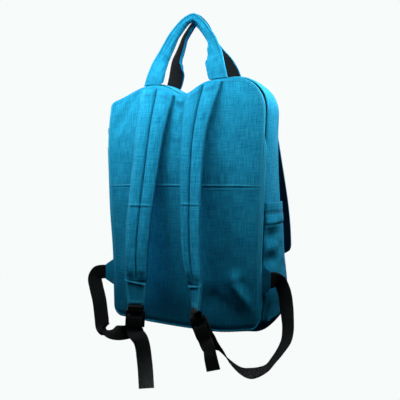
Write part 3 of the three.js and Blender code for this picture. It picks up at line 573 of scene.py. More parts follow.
@dataclass(frozen=True)
class StitchRun:
    """Row of lock stitches that lie on a cloth."""

    pitch: float = 4.0
    length: float = 2.9
    thick: float = 0.5
    sink: float = 0.25
    flatness: float = 0.8
    around: int = 6

    def along(self, path: Array, outward: Array, crosswise: bool = False) -> Skin:
        """Lays stitches along a path.

        Args:
            path: points on the cloth's face.
            outward: the cloth's outward direction at each point.
            crosswise: lays each stitch across the path, as zip teeth lie.

        Returns:
            The skin of all the stitches.
        """
        reach = arc_lengths(path)
        count = max(int(reach[-1] / self.pitch), 2)
        stops = (np.arange(count) + 0.5) * reach[-1] / count

        def read(values: Array, at: Array) -> Array:
            """Values of the path at distances along it."""
            return np.stack([np.interp(at, reach, values[:, k]) for k in range(3)], axis=1)

        centre, lift = read(path, stops), unit(read(outward, stops))
        run = unit(read(path, stops + 0.5) - read(path, stops - 0.5))
        lift = unit(lift - run * (lift * run).sum(axis=1, keepdims=True))
        beside = np.cross(lift, run)
        if crosswise:
            run, beside = beside, run
        shares = np.array((-0.5, -0.36, 0.0, 0.36, 0.5))
        girth = np.array((0.35, 0.9, 1.0, 0.9, 0.35)) * self.thick
        height = np.array((-self.sink, 0.1, 0.2, 0.1, -self.sink)) * self.thick
        angles = 2 * np.pi * np.arange(self.around) / self.around
        sideways = girth[:, None] * np.cos(angles)
        upwards = height[:, None] + self.flatness * girth[:, None] * np.sin(angles)
        spots = (
            centre[:, None, None]
            + run[:, None, None] * (shares * self.length)[None, :, None, None]
            + beside[:, None, None] * sideways[None, :, :, None]
            + lift[:, None, None] * upwards[None, :, :, None]
        )
        one = np.arange(sideways.size).reshape(sideways.shape)
        wrap = np.roll(one, -1, axis=1)
        pieces = (one[:-1], wrap[:-1], wrap[1:], one[1:])
        quads = np.stack([piece.ravel() for piece in pieces], axis=1)
        caps = [one[0][::-1], one[-1]]
        faces: list[tuple[int, ...]] = []
        for k in range(count):
            shift = k * one.size
            faces += [tuple(quad) for quad in (quads + shift).tolist()]
            faces += [tuple((cap + shift).tolist()) for cap in caps]
        points = spots.reshape(-1, 3)
        return Skin(points, faces, points[:, (0, 2)])


def outward_of(grid: Array) -> Array:
    """Unit normals of a grid of points, by its rows and columns."""
    return unit(np.cross(np.gradient(grid, axis=1), np.gradient(grid, axis=0)))


# Finishes

Value = Union["Shade", float, tuple[float, ...]]
Sockets = dict[Union[str, int], Value]


class Shade:
    """Output socket of a node that takes part in Python expressions."""

    def __init__(self, recipe: "Recipe", socket: bpy.types.NodeSocket) -> None:
        """Keeps the socket and the recipe that it belongs to."""
        self.recipe = recipe
        self.socket = socket

    def _math(self, operation: str, first: Value, second: Value) -> "Shade":
        """Adds a Math node for one operation."""
        return self.recipe.node("ShaderNodeMath", {"operation": operation}, {0: first, 1: second})

    def __add__(self, other: Value) -> "Shade":
        """Sum."""
        return self._math("ADD", self, other)

    __radd__ = __add__

    def __sub__(self, other: Value) -> "Shade":
        """Difference."""
        return self._math("SUBTRACT", self, other)

    def __rsub__(self, other: Value) -> "Shade":
        """Difference from the other."""
        return self._math("SUBTRACT", other, self)

    def __mul__(self, other: Value) -> "Shade":
        """Product."""
        return self._math("MULTIPLY", self, other)

    __rmul__ = __mul__

    def sine(self) -> "Shade":
        """Sine of the value in radians."""
        return self._math("SINE", self, 0.0)

    def clamped(self) -> "Shade":
        """The value held from 0 to 1."""
        return self.recipe.node("ShaderNodeClamp", {}, {"Value": self})


class Recipe:
    """Node tree of one material, made from its nodes one by one."""

    def __init__(self, name: str) -> None:
        """Starts an empty material.

        Args:
            name: the material's name.
        """
        self.material = bpy.data.materials.new(name)
        self.material.use_nodes = True
        self.tree = self.material.node_tree
        self.tree.nodes.clear()

    def node(
        self,
        kind: str,
        settings: dict[str, object],
        sockets: Sockets,
        output: Union[str, int] = 0,
    ) -> Shade:
        """Adds one node.

        Args:
            kind: the node's type.
            settings: its settings; stops holds a ramp's places and colours.
            sockets: values or links of its inputs.
            output: which of its outputs is wanted.

        Returns:
            That output.
        """
        node = self.tree.nodes.new(kind)
        for key, value in settings.items():
            if key == "stops":
                ramp = node.color_ramp.elements
                while len(ramp) < len(value):
                    ramp.new(0.5)
                for element, (place, colour) in zip(ramp, value):
                    element.position = place
                    element.color = (*colour, 1.0)
            else:
                setattr(node, key, value)
        for key, value in sockets.items():
            target = node.inputs[key]
            if isinstance(value, Shade):
                self.tree.links.new(value.socket, target)
            elif isinstance(value, tuple) and target.type == "RGBA":
                target.default_value = (*value, 1.0)
            else:
                target.default_value = value
        return Shade(self, node.outputs[output])

    def weave(self) -> Shade:
        """Weave coordinates of the cloth in metres."""
        return self.node("ShaderNodeUVMap", {"uv_map": WEAVE}, {})

    def turns(self, weave: Shade, across: float, along: float) -> tuple[Shade, Shade]:
        """Angles that go round once in each length of the weave.

        Args:
            weave: the weave coordinates.
            across: length across, in metres.
            along: length along, in metres.

        Returns:
            The angles across and along.
        """
        ends = self.node("ShaderNodeSeparateXYZ", {}, {0: weave}).socket.node.outputs
        x, y = Shade(self, ends[0]), Shade(self, ends[1])
        return x * (2 * math.pi / across), y * (2 * math.pi / along)

    def worn(self) -> Shade:
        """Wear and painted light and shade of the cloth at a place."""
        return self.node("ShaderNodeAttribute", {"attribute_name": WEAR_AND_SHADE}, {}, "Fac")

    def stretched(self, vector: Shade, scale: tuple[float, float, float]) -> Shade:
        """Vector scaled along its axes."""
        return self.node("ShaderNodeVectorMath", {"operation": "MULTIPLY"}, {0: vector, 1: scale})

    def noise(self, vector: Shade, scale: float, detail: float = 2.0) -> Shade:
        """Noise from 0 to 1."""
        sockets: Sockets = {"Vector": vector, "Scale": scale, "Detail": detail}
        return self.node("ShaderNodeTexNoise", {}, sockets, "Fac")

    def mixed(self, first: Value, second: Value, share: Value) -> Shade:
        """Colour that goes from first to second."""
        return self.node("ShaderNodeMix", {"data_type": "RGBA"}, {0: share, 6: first, 7: second}, 2)

    def bump(self, height: Shade, distance: float, strength: float) -> Shade:
        """Normal with a relief of the given height in metres."""
        sockets: Sockets = {"Height": height, "Distance": distance, "Strength": strength}
        return self.node("ShaderNodeBump", {}, sockets)

    def close(self, sockets: Sockets) -> bpy.types.Material:
        """Ends the material in one principled shader.

        Args:
            sockets: the shader's inputs.

        Returns:
            The finished material.
        """
        shader = self.node("ShaderNodeBsdfPrincipled", {}, sockets)
        self.node_out(shader)
        return self.material

    def node_out(self, shader: Shade) -> None:
        """Links a shader to the material's output."""
        out = self.tree.nodes.new("ShaderNodeOutputMaterial")
        self.tree.links.new(shader.socket, out.inputs["Surface"])


@dataclass(frozen=True)
class CanvasFinish:
    """Heathered blue canvas: two shades of yarn with slubs along warp and weft."""

    name: str = "heather_canvas"
    deep: Colour = (0.0012, 0.16, 0.325)
    light: Colour = (0.022, 0.40, 0.66)
    # The paler colour shows wear and painted highlights; the dark colour is painted shade.
    rubbed: Colour = (0.06, 0.52, 0.77)
    painted_shade_colour: Colour = (0.001, 0.035, 0.075)
    slub_fine: float = 620.0
    slub_long: float = 40.0
    cloud_scale: float = 34.0
    warp_share: float = 1.5
    weft_share: float = 1.1
    cloud_share: float = 0.35
    cross_share: float = 0.12
    rubbing: float = 0.4
    painted_shade_strength: float = 0.8
    yarn: float = 0.0011
    yarn_relief: float = 0.00022
    roughness: float = 0.92

    def build(self) -> bpy.types.Material:
        """Makes the material.

        Returns:
            The new material.
        """
        recipe = Recipe(self.name)
        weave = recipe.weave()
        warp = recipe.noise(recipe.stretched(weave, (self.slub_fine, self.slub_long, 1.0)), 1.0)
        weft = recipe.noise(recipe.stretched(weave, (self.slub_long, self.slub_fine, 1.0)), 1.0)
        cloud = recipe.noise(weave, self.cloud_scale, 3.0)
        across, along = recipe.turns(weave, self.yarn, self.yarn)
        cross = across.sine() * along.sine()
        heather = 0.5 + self.warp_share * (warp - 0.5) + self.weft_share * (weft - 0.5)
        heather = (heather + self.cloud_share * (cloud - 0.5)).clamped()
        yarns = recipe.mixed(self.deep, self.light, (heather + self.cross_share * cross).clamped())
        # The pale mix shows wear and painted highlights; the dark mix shows painted shade.
        bright = recipe.mixed(yarns, self.rubbed, (self.rubbing * recipe.worn()).clamped())
        colour = recipe.mixed(bright, self.painted_shade_colour, (-self.painted_shade_strength * recipe.worn()).clamped())
        relief = 0.5 * cross + 1.2 * warp + 1.2 * weft
        rough = (self.roughness - 0.1 + 0.2 * weft).clamped()
        return recipe.close(
            {
                "Base Color": colour,
                "Roughness": rough,
                "Specular IOR Level": 0.03,
                "Sheen Weight": 0.01,
                "Sheen Roughness": 0.5,
                "Sheen Tint": (0.55, 0.85, 1.0),
                "Normal": recipe.bump(relief, self.yarn_relief, 0.8),
            }
        )


@dataclass(frozen=True)
class WebbingFinish:
    """Woven webbing with cross ribs, black unless other shades are given."""

    name: str = "black_webbing"
    dark: Colour = (0.003, 0.0036, 0.0042)
    grey: Colour = (0.013, 0.0156, 0.0175)
    rib: float = 0.0021
    rib_wander: float = 1.6
    rib_relief: float = 0.0003
    roughness: float = 0.72

    def build(self) -> bpy.types.Material:
        """Makes the material.

        Returns:
            The new material.
        """
        recipe = Recipe(self.name)
        weave = recipe.weave()
        across, along = recipe.turns(weave, self.rib_wander * self.rib, self.rib)
        ribs = (along + 0.9 * across.sine()).sine()
        fibres = recipe.noise(recipe.stretched(weave, (900.0, 260.0, 1.0)), 1.0)
        shade = (0.35 + 0.22 * ribs + 0.9 * (fibres - 0.5)).clamped()
        colour = recipe.mixed(self.dark, self.grey, shade)
        return recipe.close(
            {
                "Base Color": colour,
                "Roughness": (self.roughness - 0.12 + 0.24 * fibres).clamped(),
                "Specular IOR Level": 0.1,
                "Sheen Weight": 0.03,
                "Normal": recipe.bump(ribs + 0.4 * fibres, self.rib_relief, 0.5),
            }
        )


@dataclass(frozen=True)
class PlasticFinish:
    """Black moulded plastic with a fine grain."""

    name: str = "moulded_plastic"
    dark: Colour = (0.004, 0.0045, 0.005)
    scuffed: Colour = (0.02, 0.021, 0.022)
    roughness: float = 0.36

    def build(self) -> bpy.types.Material:
        """Makes the material.

        Returns:
            The new material.
        """
        recipe = Recipe(self.name)
        place = recipe.node("ShaderNodeTexCoord", {}, {}, "Object")
        grain = recipe.noise(place, 2600.0, 1.0)
        scuff = recipe.noise(place, 140.0, 4.0)
        colour = recipe.mixed(self.dark, self.scuffed, (1.6 * (scuff - 0.42)).clamped())
        return recipe.close(
            {
                "Base Color": colour,
                "Roughness": (self.roughness - 0.08 + 0.22 * scuff).clamped(),
                "Normal": recipe.bump(grain, 0.00008, 0.6),
            }
        )


@dataclass(frozen=True)
class ThreadFinish:
    """Twisted sewing thread."""

    name: str
    dark: Colour
    light: Colour

    def build(self) -> bpy.types.Material:
        """Makes the material.

        Returns:
            The new material.
        """
        recipe = Recipe(self.name)
        place = recipe.node("ShaderNodeTexCoord", {}, {}, "Object")
        twist = recipe.noise(place, 1500.0, 2.0)
        colour = recipe.mixed(self.dark, self.light, twist)
        return recipe.close(
            {
                "Base Color": colour,
                "Roughness": (0.55 + 0.25 * twist).clamped(),
                "Specular IOR Level": 0.3,
                "Normal": recipe.bump(twist, 0.0001, 0.6),
            }
        )


@dataclass(frozen=True)
class StageFinish:
    """Pale even floor that shows white and throws little light back."""

    name: str = "pale_floor"
    shown: Colour = (0.930, 0.965, 0.956)
    thrown: Colour = (0.06, 0.062, 0.062)

    def build(self) -> bpy.types.Material:
        """Makes the material.

        Returns:
            The new material.
        """
        recipe = Recipe(self.name)
        seen = recipe.node("ShaderNodeLightPath", {}, {}, "Is Camera Ray")
        matt = recipe.node("ShaderNodeBsdfDiffuse", {}, {"Color": self.thrown})
        glow = recipe.node("ShaderNodeEmission", {}, {"Color": self.shown, "Strength": 1.0})
        recipe.node_out(recipe.node("ShaderNodeMixShader", {}, {0: seen, 1: matt, 2: glow}))
        return recipe.material


# Dark blue lining of the flap; its shades are set to look like the canvas in shade, so its visible strip shows painted
# shade.
SHADE_TONED_FLAP_LINING = WebbingFinish("flap_lining", (0.0008, 0.022, 0.042), (0.002, 0.06, 0.11))
BLUE_THREAD = ThreadFinish("blue_thread", (0.001, 0.10, 0.21), (0.006, 0.22, 0.40))


@dataclass
class Finishes:
    """All the finishes of the bag, made once."""

    canvas: bpy.types.Material = field(default_factory=lambda: CanvasFinish().build())
    webbing: bpy.types.Material = field(default_factory=lambda: WebbingFinish().build())
    lining: bpy.types.Material = field(default_factory=lambda: SHADE_TONED_FLAP_LINING.build())
    plastic: bpy.types.Material = field(default_factory=lambda: PlasticFinish().build())
    blue_thread: bpy.types.Material = field(default_factory=lambda: BLUE_THREAD.build())


def dress(piece: bpy.types.Object, slot: Slot, finish: bpy.types.Material, *nodes: str) -> None:
    """Gives a piece its finish and its place in the frame.

    Args:
        piece: the new piece.
        slot: the record's material slot.
        finish: the material to show.
        nodes: CAD nodes that the piece stands for.
    """
    piece.data.materials.clear()
    piece.data.materials.append(finish)
    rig.ride(piece, "root")
    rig.slot(piece, slot.value)
    if nodes:
        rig.replaces(piece, *nodes)
    LOG.info("%s: %d faces in %s", piece.name, len(piece.data.polygons), finish.name)


# Hung form of the bag


@dataclass(frozen=True)
class Fold:
    """Ridge of the cloth along a line in x and height, or a crease where rise is negative."""

    x0: float
    height0: float
    x1: float
    height1: float
    rise: float
    spread: float

    def at(self, x: Number, height: Number) -> Array:
        """Relief of the fold on the flat pattern.

        Args:
            x: place across the pattern.
            height: height on the pattern.

        Returns:
            How far the cloth stands out.
        """
        dx, dh = self.x1 - self.x0, self.height1 - self.height0
        along = (x - self.x0) * dx + (height - self.height0) * dh
        t = np.clip(along / (dx * dx + dh * dh), 0, 1)
        away = np.hypot(x - self.x0 - t * dx, height - self.height0 - t * dh) / self.spread
        return self.rise * np.exp(-away * away)


@dataclass(frozen=True)
class Edge:
    """Places on the flat pattern's edge with their outward directions."""

    x: Array
    height: Array
    nx: Array
    nh: Array

    @classmethod
    def spot(cls, x: float, height: float, nx: float) -> "Edge":
        """One place on a side of the pattern."""
        return cls(*(np.array([value]) for value in (x, height, nx, 0.0)))

    @classmethod
    def arc(cls, x: float, height: float, radius: float, angles: Array) -> "Edge":
        """Places on a corner's arc about its centre."""
        nx, nh = np.cos(angles), np.sin(angles)
        return cls(x + radius * nx, height + radius * nh, nx, nh)

    @classmethod
    def line(cls, start: Place, end: Place, share: Array, outward: Place) -> "Edge":
        """Places on a straight edge.

        Args:
            start: x and height of its start.
            end: x and height of its end.
            share: how far along each place lies.
            outward: its outward direction.

        Returns:
            The places in order.
        """
        x, height = blend(start[0], end[0], share), blend(start[1], end[1], share)
        return cls(x, height, 0 * share + outward[0], 0 * share + outward[1])

    def parts(self) -> tuple[Array, ...]:
        """Its values, one array each."""
        return self.x, self.height, self.nx, self.nh

    def kept(self, keep: Array) -> "Edge":
        """The places that are marked."""
        return Edge(*(part[keep] for part in self.parts()))

    def then(self, other: "Edge") -> "Edge":
        """These places followed by the other's."""
        return Edge(*map(np.concatenate, zip(self.parts(), other.parts())))

    def column(self) -> "Edge":
        """The same places as a column, one row each."""
        return Edge(*(part[:, None] for part in self.parts()))


@dataclass(frozen=True)
class HungForm:
    """Flat pattern of the bag and the way it hangs."""

    bag_height: float = 402.0
    half_width: float = 150.0
    hang_drop: float = 104.0
    top_radius_left: float = 9.0
    top_radius_right: float = 58.0
    base_radius: float = 13.0
    canvas: float = 2.0
    back_wall: float = 3.5
    gap: float = 0.3
    back_swell: float = 9.0
    swell_power: float = 0.6
    edge_hold: float = 8.0
    front_swell: float = 5.0
    top_dome: float = 3.0
    side_dome: float = 5.0
    dome_lean: float = 0.75
    seam_height: float = 226.0
    seam_depth: float = 2.0
    seam_half: float = 4.0
    seam_line: Bump = Bump(-0.5, 0.0, 1.3)
    seam_ridge: Bump = Bump(0.9, 2.6, 1.5)
    seam_pucker: ClothNoise = ClothNoise(13, 0.22, 9, 40)
    pucker_spread: float = 10.0
    unevenness: tuple[ClothNoise, ...] = (ClothNoise(5, 0.9, 58, 74), ClothNoise(9, 0.45, 23, 31))
    mouth_gap: float = 5.0
    mouth_closed: float = 312.0
    mouth_open: float = 380.0
    sections: Table = Table(
        ("height", "left", "right", "back", "front", "pinch"),
        (
            (0, -137, 139, -46, 77, 0),
            (50, -139, 142, -45, 74, 0),
            (110, -142, 140, -43, 63, 0),
            (180, -150, 141, -40, 51, 1),
            (250, -157, 143, -37, 40, 3),
            (310, -162, 144, -34, 32, 2),
            (360, -161, 145, -32, 28, 0),
            (402, -157, 145, -30, 26, 0),
        ),
    )
    valley_x: float = -4.0
    valley_spread: float = 30.0
    valley_drop: float = 20.0
    valley_from: float = 250.0
    shoulder_from: float = 70.0
    shoulder_to: float = 165.0
    shoulder_drop: float = 24.0
    shoulder_fade: float = 200.0
    base_drop: float = 5.0
    base_fade: float = 120.0
    lift_from: float = 60.0
    lift_to: float = 150.0
    lift_rise: float = 8.0
    belly_drop: float = 8.0
    belly_fade: float = 80.0
    belly_across: Ramp = Ramp(70.0, 140.0)
    belly_lean: float = 0.7
    belly_round: float = 0.8
    folds: tuple[Fold, ...] = (
        Fold(-90, 398, -126, 358, -6, 12),
        Fold(-112, 400, -140, 372, 4, 9),
        Fold(108, 78, 140, 18, 9, 13),
        Fold(60, 40, 118, 16, -7, 20),
        Fold(0, 388, 2, 350, -4, 16),
    )
    creases: tuple[Fold, ...] = (
        Fold(-88, 400, -124, 354, -2.4, 4.5),
        Fold(-80, 396, -104, 372, 1.6, 5),
        Fold(-19, 399, -9, 388, 6, 4),
        Fold(-9, 388, 1, 397, 6, 4),
        Fold(-16, 381, -2, 380, -5, 5),
        Fold(-128, 330, -150, 300, 1.6, 9),
        Fold(-118, 352, -146, 322, -1.5, 7),
        Fold(-14, 372, -8, 318, 1.4, 7),
        Fold(18, 380, 6, 330, -1.6, 7),
        Fold(96, 384, 118, 330, 1.3, 10),
        Fold(112, 300, 138, 262, -1.2, 10),
        Fold(124, 74, 150, 46, -3.6, 8),
        Fold(108, 66, 149, 24, 3.4, 6),
        Fold(70, 52, 128, 20, -2.4, 9),
        Fold(-140, 90, -104, 40, 1.4, 12),
        Fold(-40, 60, 30, 36, 1.2, 14),
        Fold(-130, 206, -142, 150, 1.2, 9),
    )

    @property
    def top_z(self) -> float:
        """Height of the bag's top edge in the frame."""
        return -self.hang_drop

    @property
    def base_z(self) -> float:
        """Height of the bag's base in the frame."""
        return self.top_z - self.bag_height

    def section(self, column: str, height: Number) -> Array:
        """Section value at a height."""
        return self.sections.at(column, height)

    def depth(self, height: Number) -> Array:
        """Distance from the back face to the front face."""
        return self.section("front", height) - self.section("back", height)

    def sag(self, x: Number, height: Number) -> Array:
        """Drop of the cloth under its own weight.

        Args:
            x: place across, in the frame.
            height: height on the pattern.

        Returns:
            How far the place moves up, so a drop is negative.
        """
        valley = self.valley_drop * bell(x, self.valley_x, self.valley_spread)
        shoulder = self.shoulder_drop * smooth(-np.asarray(x), self.shoulder_from, self.shoulder_to)
        lift = self.lift_rise * smooth(x, self.lift_from, self.lift_to)
        base = self.base_drop * (1 - (x / self.half_width) ** 2) - lift
        return (
            -valley * smooth(height, self.valley_from, self.bag_height)
            - shoulder * smooth(height, self.shoulder_fade, self.bag_height)
            - base * (1 - smooth(height, 0, self.base_fade))
        )

    def place(self, x: Number, height: Number, share: Number, offset: Number = 0.0) -> Array:
        """Point of the bag from its flat pattern.

        Args:
            x: place across the pattern.
            height: height on the pattern.
            share: depth from the back face, 0, to the front face, 1.
            offset: further depth in millimetres.

        Returns:
            Points in the frame.
        """
        x, height, share, offset = np.broadcast_arrays(x, height, share, offset)
        edge = np.where(x < 0, -self.section("left", height), self.section("right", height))
        across = (x / self.half_width) * (edge - self.section("pinch", height) * share)
        deep = blend(self.section("back", height), self.section("front", height), share) + offset
        belly = self.belly_drop * self.belly_across.up(x) * (1 - smooth(height, 0, self.belly_fade))
        drop = belly * np.sin(np.pi * np.clip(share, 0, 1) ** self.belly_lean) ** self.belly_round
        z = self.base_z + height + self.sag(across, height) - drop
        return np.stack((across, deep, z), axis=-1)

    def corner_cut(self, height: Number, top_radius: float) -> Array:
        """How far a rounded corner cuts into the pattern's side.

        Args:
            height: height on the pattern.
            top_radius: radius of that side's top corner.

        Returns:
            Distances in from the side.
        """
        low = self.base_radius - height
        high = height - (self.bag_height - top_radius)
        radius = np.where(low > 0, self.base_radius, top_radius)
        into = np.maximum(np.maximum(low, high), 0)
        return radius - np.sqrt(np.maximum(radius * radius - into * into, 0))

    def across(self, height: Number, share: Number) -> Array:
        """Place across the pattern.

        Args:
            height: height on the pattern.
            share: share from its left edge to its right.

        Returns:
            X on the pattern.
        """
        left = -self.half_width + self.corner_cut(height, self.top_radius_left)
        right = self.half_width - self.corner_cut(height, self.top_radius_right)
        return blend(left, right, share)

    def back_relief(self, x: Number, height: Number, fine: bool = True) -> Array:
        """Outward relief of the back panel.

        Args:
            x: place across the pattern.
            height: height on the pattern.
            fine: adds the small creases and puckers.

        Returns:
            How far the cloth stands out.
        """
        level = np.clip(np.asarray(height, dtype=float) / self.bag_height, 0, 1)
        left, right = self.across(height, 0.0), self.across(height, 1.0)
        u = (2 * x - left - right) / (right - left)
        between = np.sin(np.pi * level) ** self.swell_power
        inside = 1 - np.abs(u) ** self.edge_hold
        folds = sum(fold.at(x, height) for fold in self.folds)
        relief = self.back_swell * (1 - u * u) * between + folds * inside * between
        if fine:
            past = height - self.seam_height
            seam = (self.seam_ridge.at(past) + self.seam_line.at(past)) * inside
            return relief + self.fine_relief(x, height) * inside * between + seam
        return relief - self.seam_depth * bell(height, self.seam_height, self.seam_half / 2) * inside

    def fine_relief(self, x: Number, height: Number) -> Array:
        """Small creases, puckers along the cross seam and soft unevenness.

        Args:
            x: place across the pattern.
            height: height on the pattern.

        Returns:
            How far the cloth stands out.
        """
        creases = sum(crease.at(x, height) for crease in self.creases)
        soft = sum(layer.at(x, height) for layer in self.unevenness)
        near = bell(height, self.seam_height, self.pucker_spread)
        return creases + soft + self.seam_pucker.at(x, height) * near

    def back_face(self, x: Number, z: Number) -> Array:
        """Depth of the back panel's outer face.

        Args:
            x: place across, in the frame.
            z: height, in the frame.

        Returns:
            Y of the face there.
        """
        height = z - self.base_z
        for _ in range(3):
            height = z - self.base_z - self.sag(x, height)
        edge = np.where(x < 0, -self.section("left", height), self.section("right", height))
        relief = self.back_relief(x / edge * self.half_width, height, fine=False)
        return self.section("back", height) - relief

    def front_relief(self, x: Number, height: Number) -> Array:
        """Outward swell of the front panel."""
        level = np.clip(np.asarray(height, dtype=float) / self.bag_height, 0, 1)
        return self.front_swell * (1 - (x / self.half_width) ** 2) * np.sin(np.pi * level)

    def upper_edge(self, start: float, side_steps: int, top_steps: int, arc_steps: int) -> Edge:
        """Edge of the pattern up the left, over the top and down the right.

        Args:
            start: height where it starts and ends.
            side_steps: steps on each side.
            top_steps: steps along the top.
            arc_steps: steps in each corner.

        Returns:
            The edge's places in order.
        """
        half, top = self.half_width, self.bag_height
        left_end, right_end = top - self.top_radius_left, top - self.top_radius_right
        top_from, top_to = self.top_radius_left - half, half - self.top_radius_right
        up, over = np.arange(side_steps) / side_steps, np.arange(top_steps) / top_steps
        down = np.arange(side_steps + 1) / side_steps
        quarter = np.pi / 2 * np.arange(arc_steps) / arc_steps
        return (
            Edge.line((-half, start), (-half, left_end), up, (-1, 0))
            .then(Edge.arc(top_from, left_end, self.top_radius_left, np.pi - quarter))
            .then(Edge.line((top_from, top), (top_to, top), over, (0, 1)))
            .then(Edge.arc(top_to, right_end, self.top_radius_right, np.pi / 2 - quarter))
            .then(Edge.line((half, right_end), (half, start), down, (1, 0)))
        )

    def lower_edge(self, base_steps: int, arc_steps: int) -> Edge:
        """Edge of the pattern from its lower left corner along the base to the lower right.

        Args:
            base_steps: steps along the base.
            arc_steps: steps in each corner.

        Returns:
            The edge's places in order.
        """
        radius, straight = self.base_radius, self.half_width - self.base_radius
        along = np.arange(base_steps) / base_steps
        quarter = np.pi / 2 * np.arange(arc_steps + 1) / arc_steps
        return (
            Edge.arc(-straight, radius, radius, np.pi + quarter[:-1])
            .then(Edge.line((-straight, 0.0), (straight, 0.0), along, (0, -1)))
            .then(Edge.arc(straight, radius, radius, 1.5 * np.pi + quarter))
        )

    def dome(self, edge: Edge, share: Number) -> Array:
        """Outward doming of the gusset, fuller at the sides than over the top."""
        full = blend(self.side_dome, self.top_dome, np.maximum(edge.nh, 0))
        return full * np.sin(np.pi * np.asarray(share) ** self.dome_lean)

    def on_gusset(self, edge: Edge, share: Number, out: Number) -> Array:
        """Point on the gusset, standing out from its edge line."""
        return self.place(edge.x + edge.nx * out, edge.height + edge.nh * out, share)

    def opened(self, height: Number) -> Array:
        """How far the mouth slit has opened at a height, from 0 to 1."""
        return smooth(height, self.mouth_closed, self.mouth_open)

    def mouth_share(self, height: Number) -> Array:
        """Depth share of the gusset's edge at the mouth slit."""
        opened = self.mouth_gap * self.opened(height)
        return (self.back_wall + self.gap + opened) / self.depth(height)

    def front_share(self, height: Number) -> Array:
        """Depth share of the gusset's edge at the front panel."""
        return 1 - (self.canvas + 3 * self.gap) / self.depth(height)


# Sub-assemblies


@dataclass
class BagShell:
    """Back and front panels, gusset, base and the welt that joins them.

    A hollow is given by depth and by height. Wear and painted light are above 0 where wear leaves the cloth pale and
    where a highlight is painted, and below 0 where shade is painted.
    """

    form: HungForm
    finishes: Finishes
    rows: int = 150
    columns: int = 116
    seam_reach: float = 8.0
    front_soft: ClothNoise = ClothNoise(21, 0.8, 60, 70)
    gusset_soft: tuple[ClothNoise, ...] = (ClothNoise(31, 1.0, 52, 40), ClothNoise(33, 0.4, 19, 22))
    base_soft: ClothNoise = ClothNoise(41, 0.8, 40, 1)
    welt_radius: float = 1.8
    welt_full: float = 2.3
    welt_pucker: float = 0.05
    welt_pitch: float = 7.5
    welt_least: float = 0.15
    welt_start: Ramp = Ramp(0, 25)
    welt_stop: Ramp = Ramp(0, 130)
    hem: float = 6.0
    hem_rise: float = 0.5
    hem_step: float = 1.5
    corner_start: Ramp = Ramp(4, 12)
    dent: tuple[Bump, Bump] = (Bump(-5.5, 17, 10), Bump(1, 56, 20))
    # Painted shade in the hollow by the right tab, by depth and by height.
    shade: tuple[Bump, Bump] = (Bump(-0.9, 15, 14), Bump(1, 62, 18))
    ridge: Bump = Bump(1, 34, 7)
    ridge_slope: float = 0.75
    ridge_end: Ramp = Ramp(38, 52)
    ridge_rise: float = 4.0
    # Strength of the painted highlight on the slanting ridge.
    ridge_highlight: float = 0.7
    edge_wear: Bump = Bump(1, 0, 3)
    # Painted highlight along the ridge just above the cross seam.
    seam_highlight: Bump = Bump(0.9, 3.4, 1.3)
    wear_and_highlight_above: Ramp = Ramp(8, 60)
    # Painted highlight along the lit ridge at the lower right corner.
    corner_highlight: Fold = Fold(106, 78, 149, 22, 0.6, 5)
    # Painted shade line just above the base welt.
    low_shade_line: Bump = Bump(-0.8, 3, 3)
    mouth_wear: Bump = Bump(1, 0, 0.05)
    # Painted shade line on the gusset beside the welt, where the slit is closed.
    side_shade_line: Bump = Bump(-1, 0, 0.07)
    # Painted shade that darkens the panel and gusset towards the bottom, fading out by these heights.
    panel_low_shade: Ramp = Ramp(0, 120)
    gusset_low_shade: Ramp = Ramp(0, 150)
    # Painted shade over the base, a little lighter towards the front.
    base_shade: float = -0.35
    base_shade_lift: float = 0.2
    base_shade_easing: Ramp = Ramp(0.2, 0.6)
    # Painted highlight on the welt higher up and painted shade near the base.
    welt_highlight: float = 0.9
    welt_rubbed: Ramp = Ramp(45, 95)
    welt_low_shade: float = 0.1
    welt_shaded_below: Ramp = Ramp(4, 45)
    # Strength of the painted shade towards the bottom.
    grime: float = 0.45
    stitch_inset: float = 5.5
    seam_stitches: tuple[float, float] = (5.6, -4.4)
    front_flat: tuple[float, float] = (0.302, 0.404)
    gusset_flat: tuple[float, float] = (0.114, 1.09)
    gusset_area: float = 0.082
    base_flat: tuple[float, float] = (0.122, 0.332)
    base_area: float = 0.037

    def heights(self, rows: int) -> Array:
        """Row heights of a panel, close together in the corners and at the cross seam.

        Args:
            rows: rows between the corners.

        Returns:
            Heights from the base up.
        """
        form, reach = self.form, self.seam_reach
        a = np.linspace(0, np.pi / 2, 14)
        low = form.base_radius * (1 - np.cos(a))
        high = form.bag_height - form.top_radius_right * (1 - np.sin(a))
        seam = form.seam_height + np.linspace(-reach, reach, 17)
        plain = np.linspace(form.base_radius, form.bag_height - form.top_radius_right, rows)
        plain = plain[np.abs(plain - form.seam_height) > reach + 0.5]
        return np.unique(np.round(np.concatenate((low, plain, seam, high)), 4))

    def back_panel(self) -> None:
        """Harness-side panel with its swell, folds and cross seam."""
        form = self.form
        height = self.heights(self.rows)[:, None]
        even = np.linspace(0, 1, self.columns)[None, :]
        share = blend(even, 0.5 - 0.5 * np.cos(np.pi * even), 0.3)
        x = form.across(height, share)
        relief = form.back_relief(x, height)
        outer = form.place(x, height, 0.0, -relief)
        inner = form.place(x, height, 0.0, form.back_wall - relief)
        edge = np.minimum(share, 1 - share) * 2 * form.half_width
        # Panel edges pale from wear; painted highlight above the cross seam and on the lower right ridge; painted
        # shade darker towards the bottom and in a line above the base welt.
        rub = self.edge_wear.at(edge) + self.seam_highlight.at(height - form.seam_height)
        rub = rub * self.wear_and_highlight_above.up(height) + self.corner_highlight.at(x, height)
        rub = rub - self.grime * self.panel_low_shade.down(height) + self.low_shade_line.at(height)
        skin = cloth_skin(outer, inner, paired(x, height), np.clip(rub, -1, 1))
        piece = skin.build("back_panel_cloth")
        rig.padded(piece, fill=0.35)
        dress(piece, Slot.CANVAS, self.finishes.canvas, "back_panel")

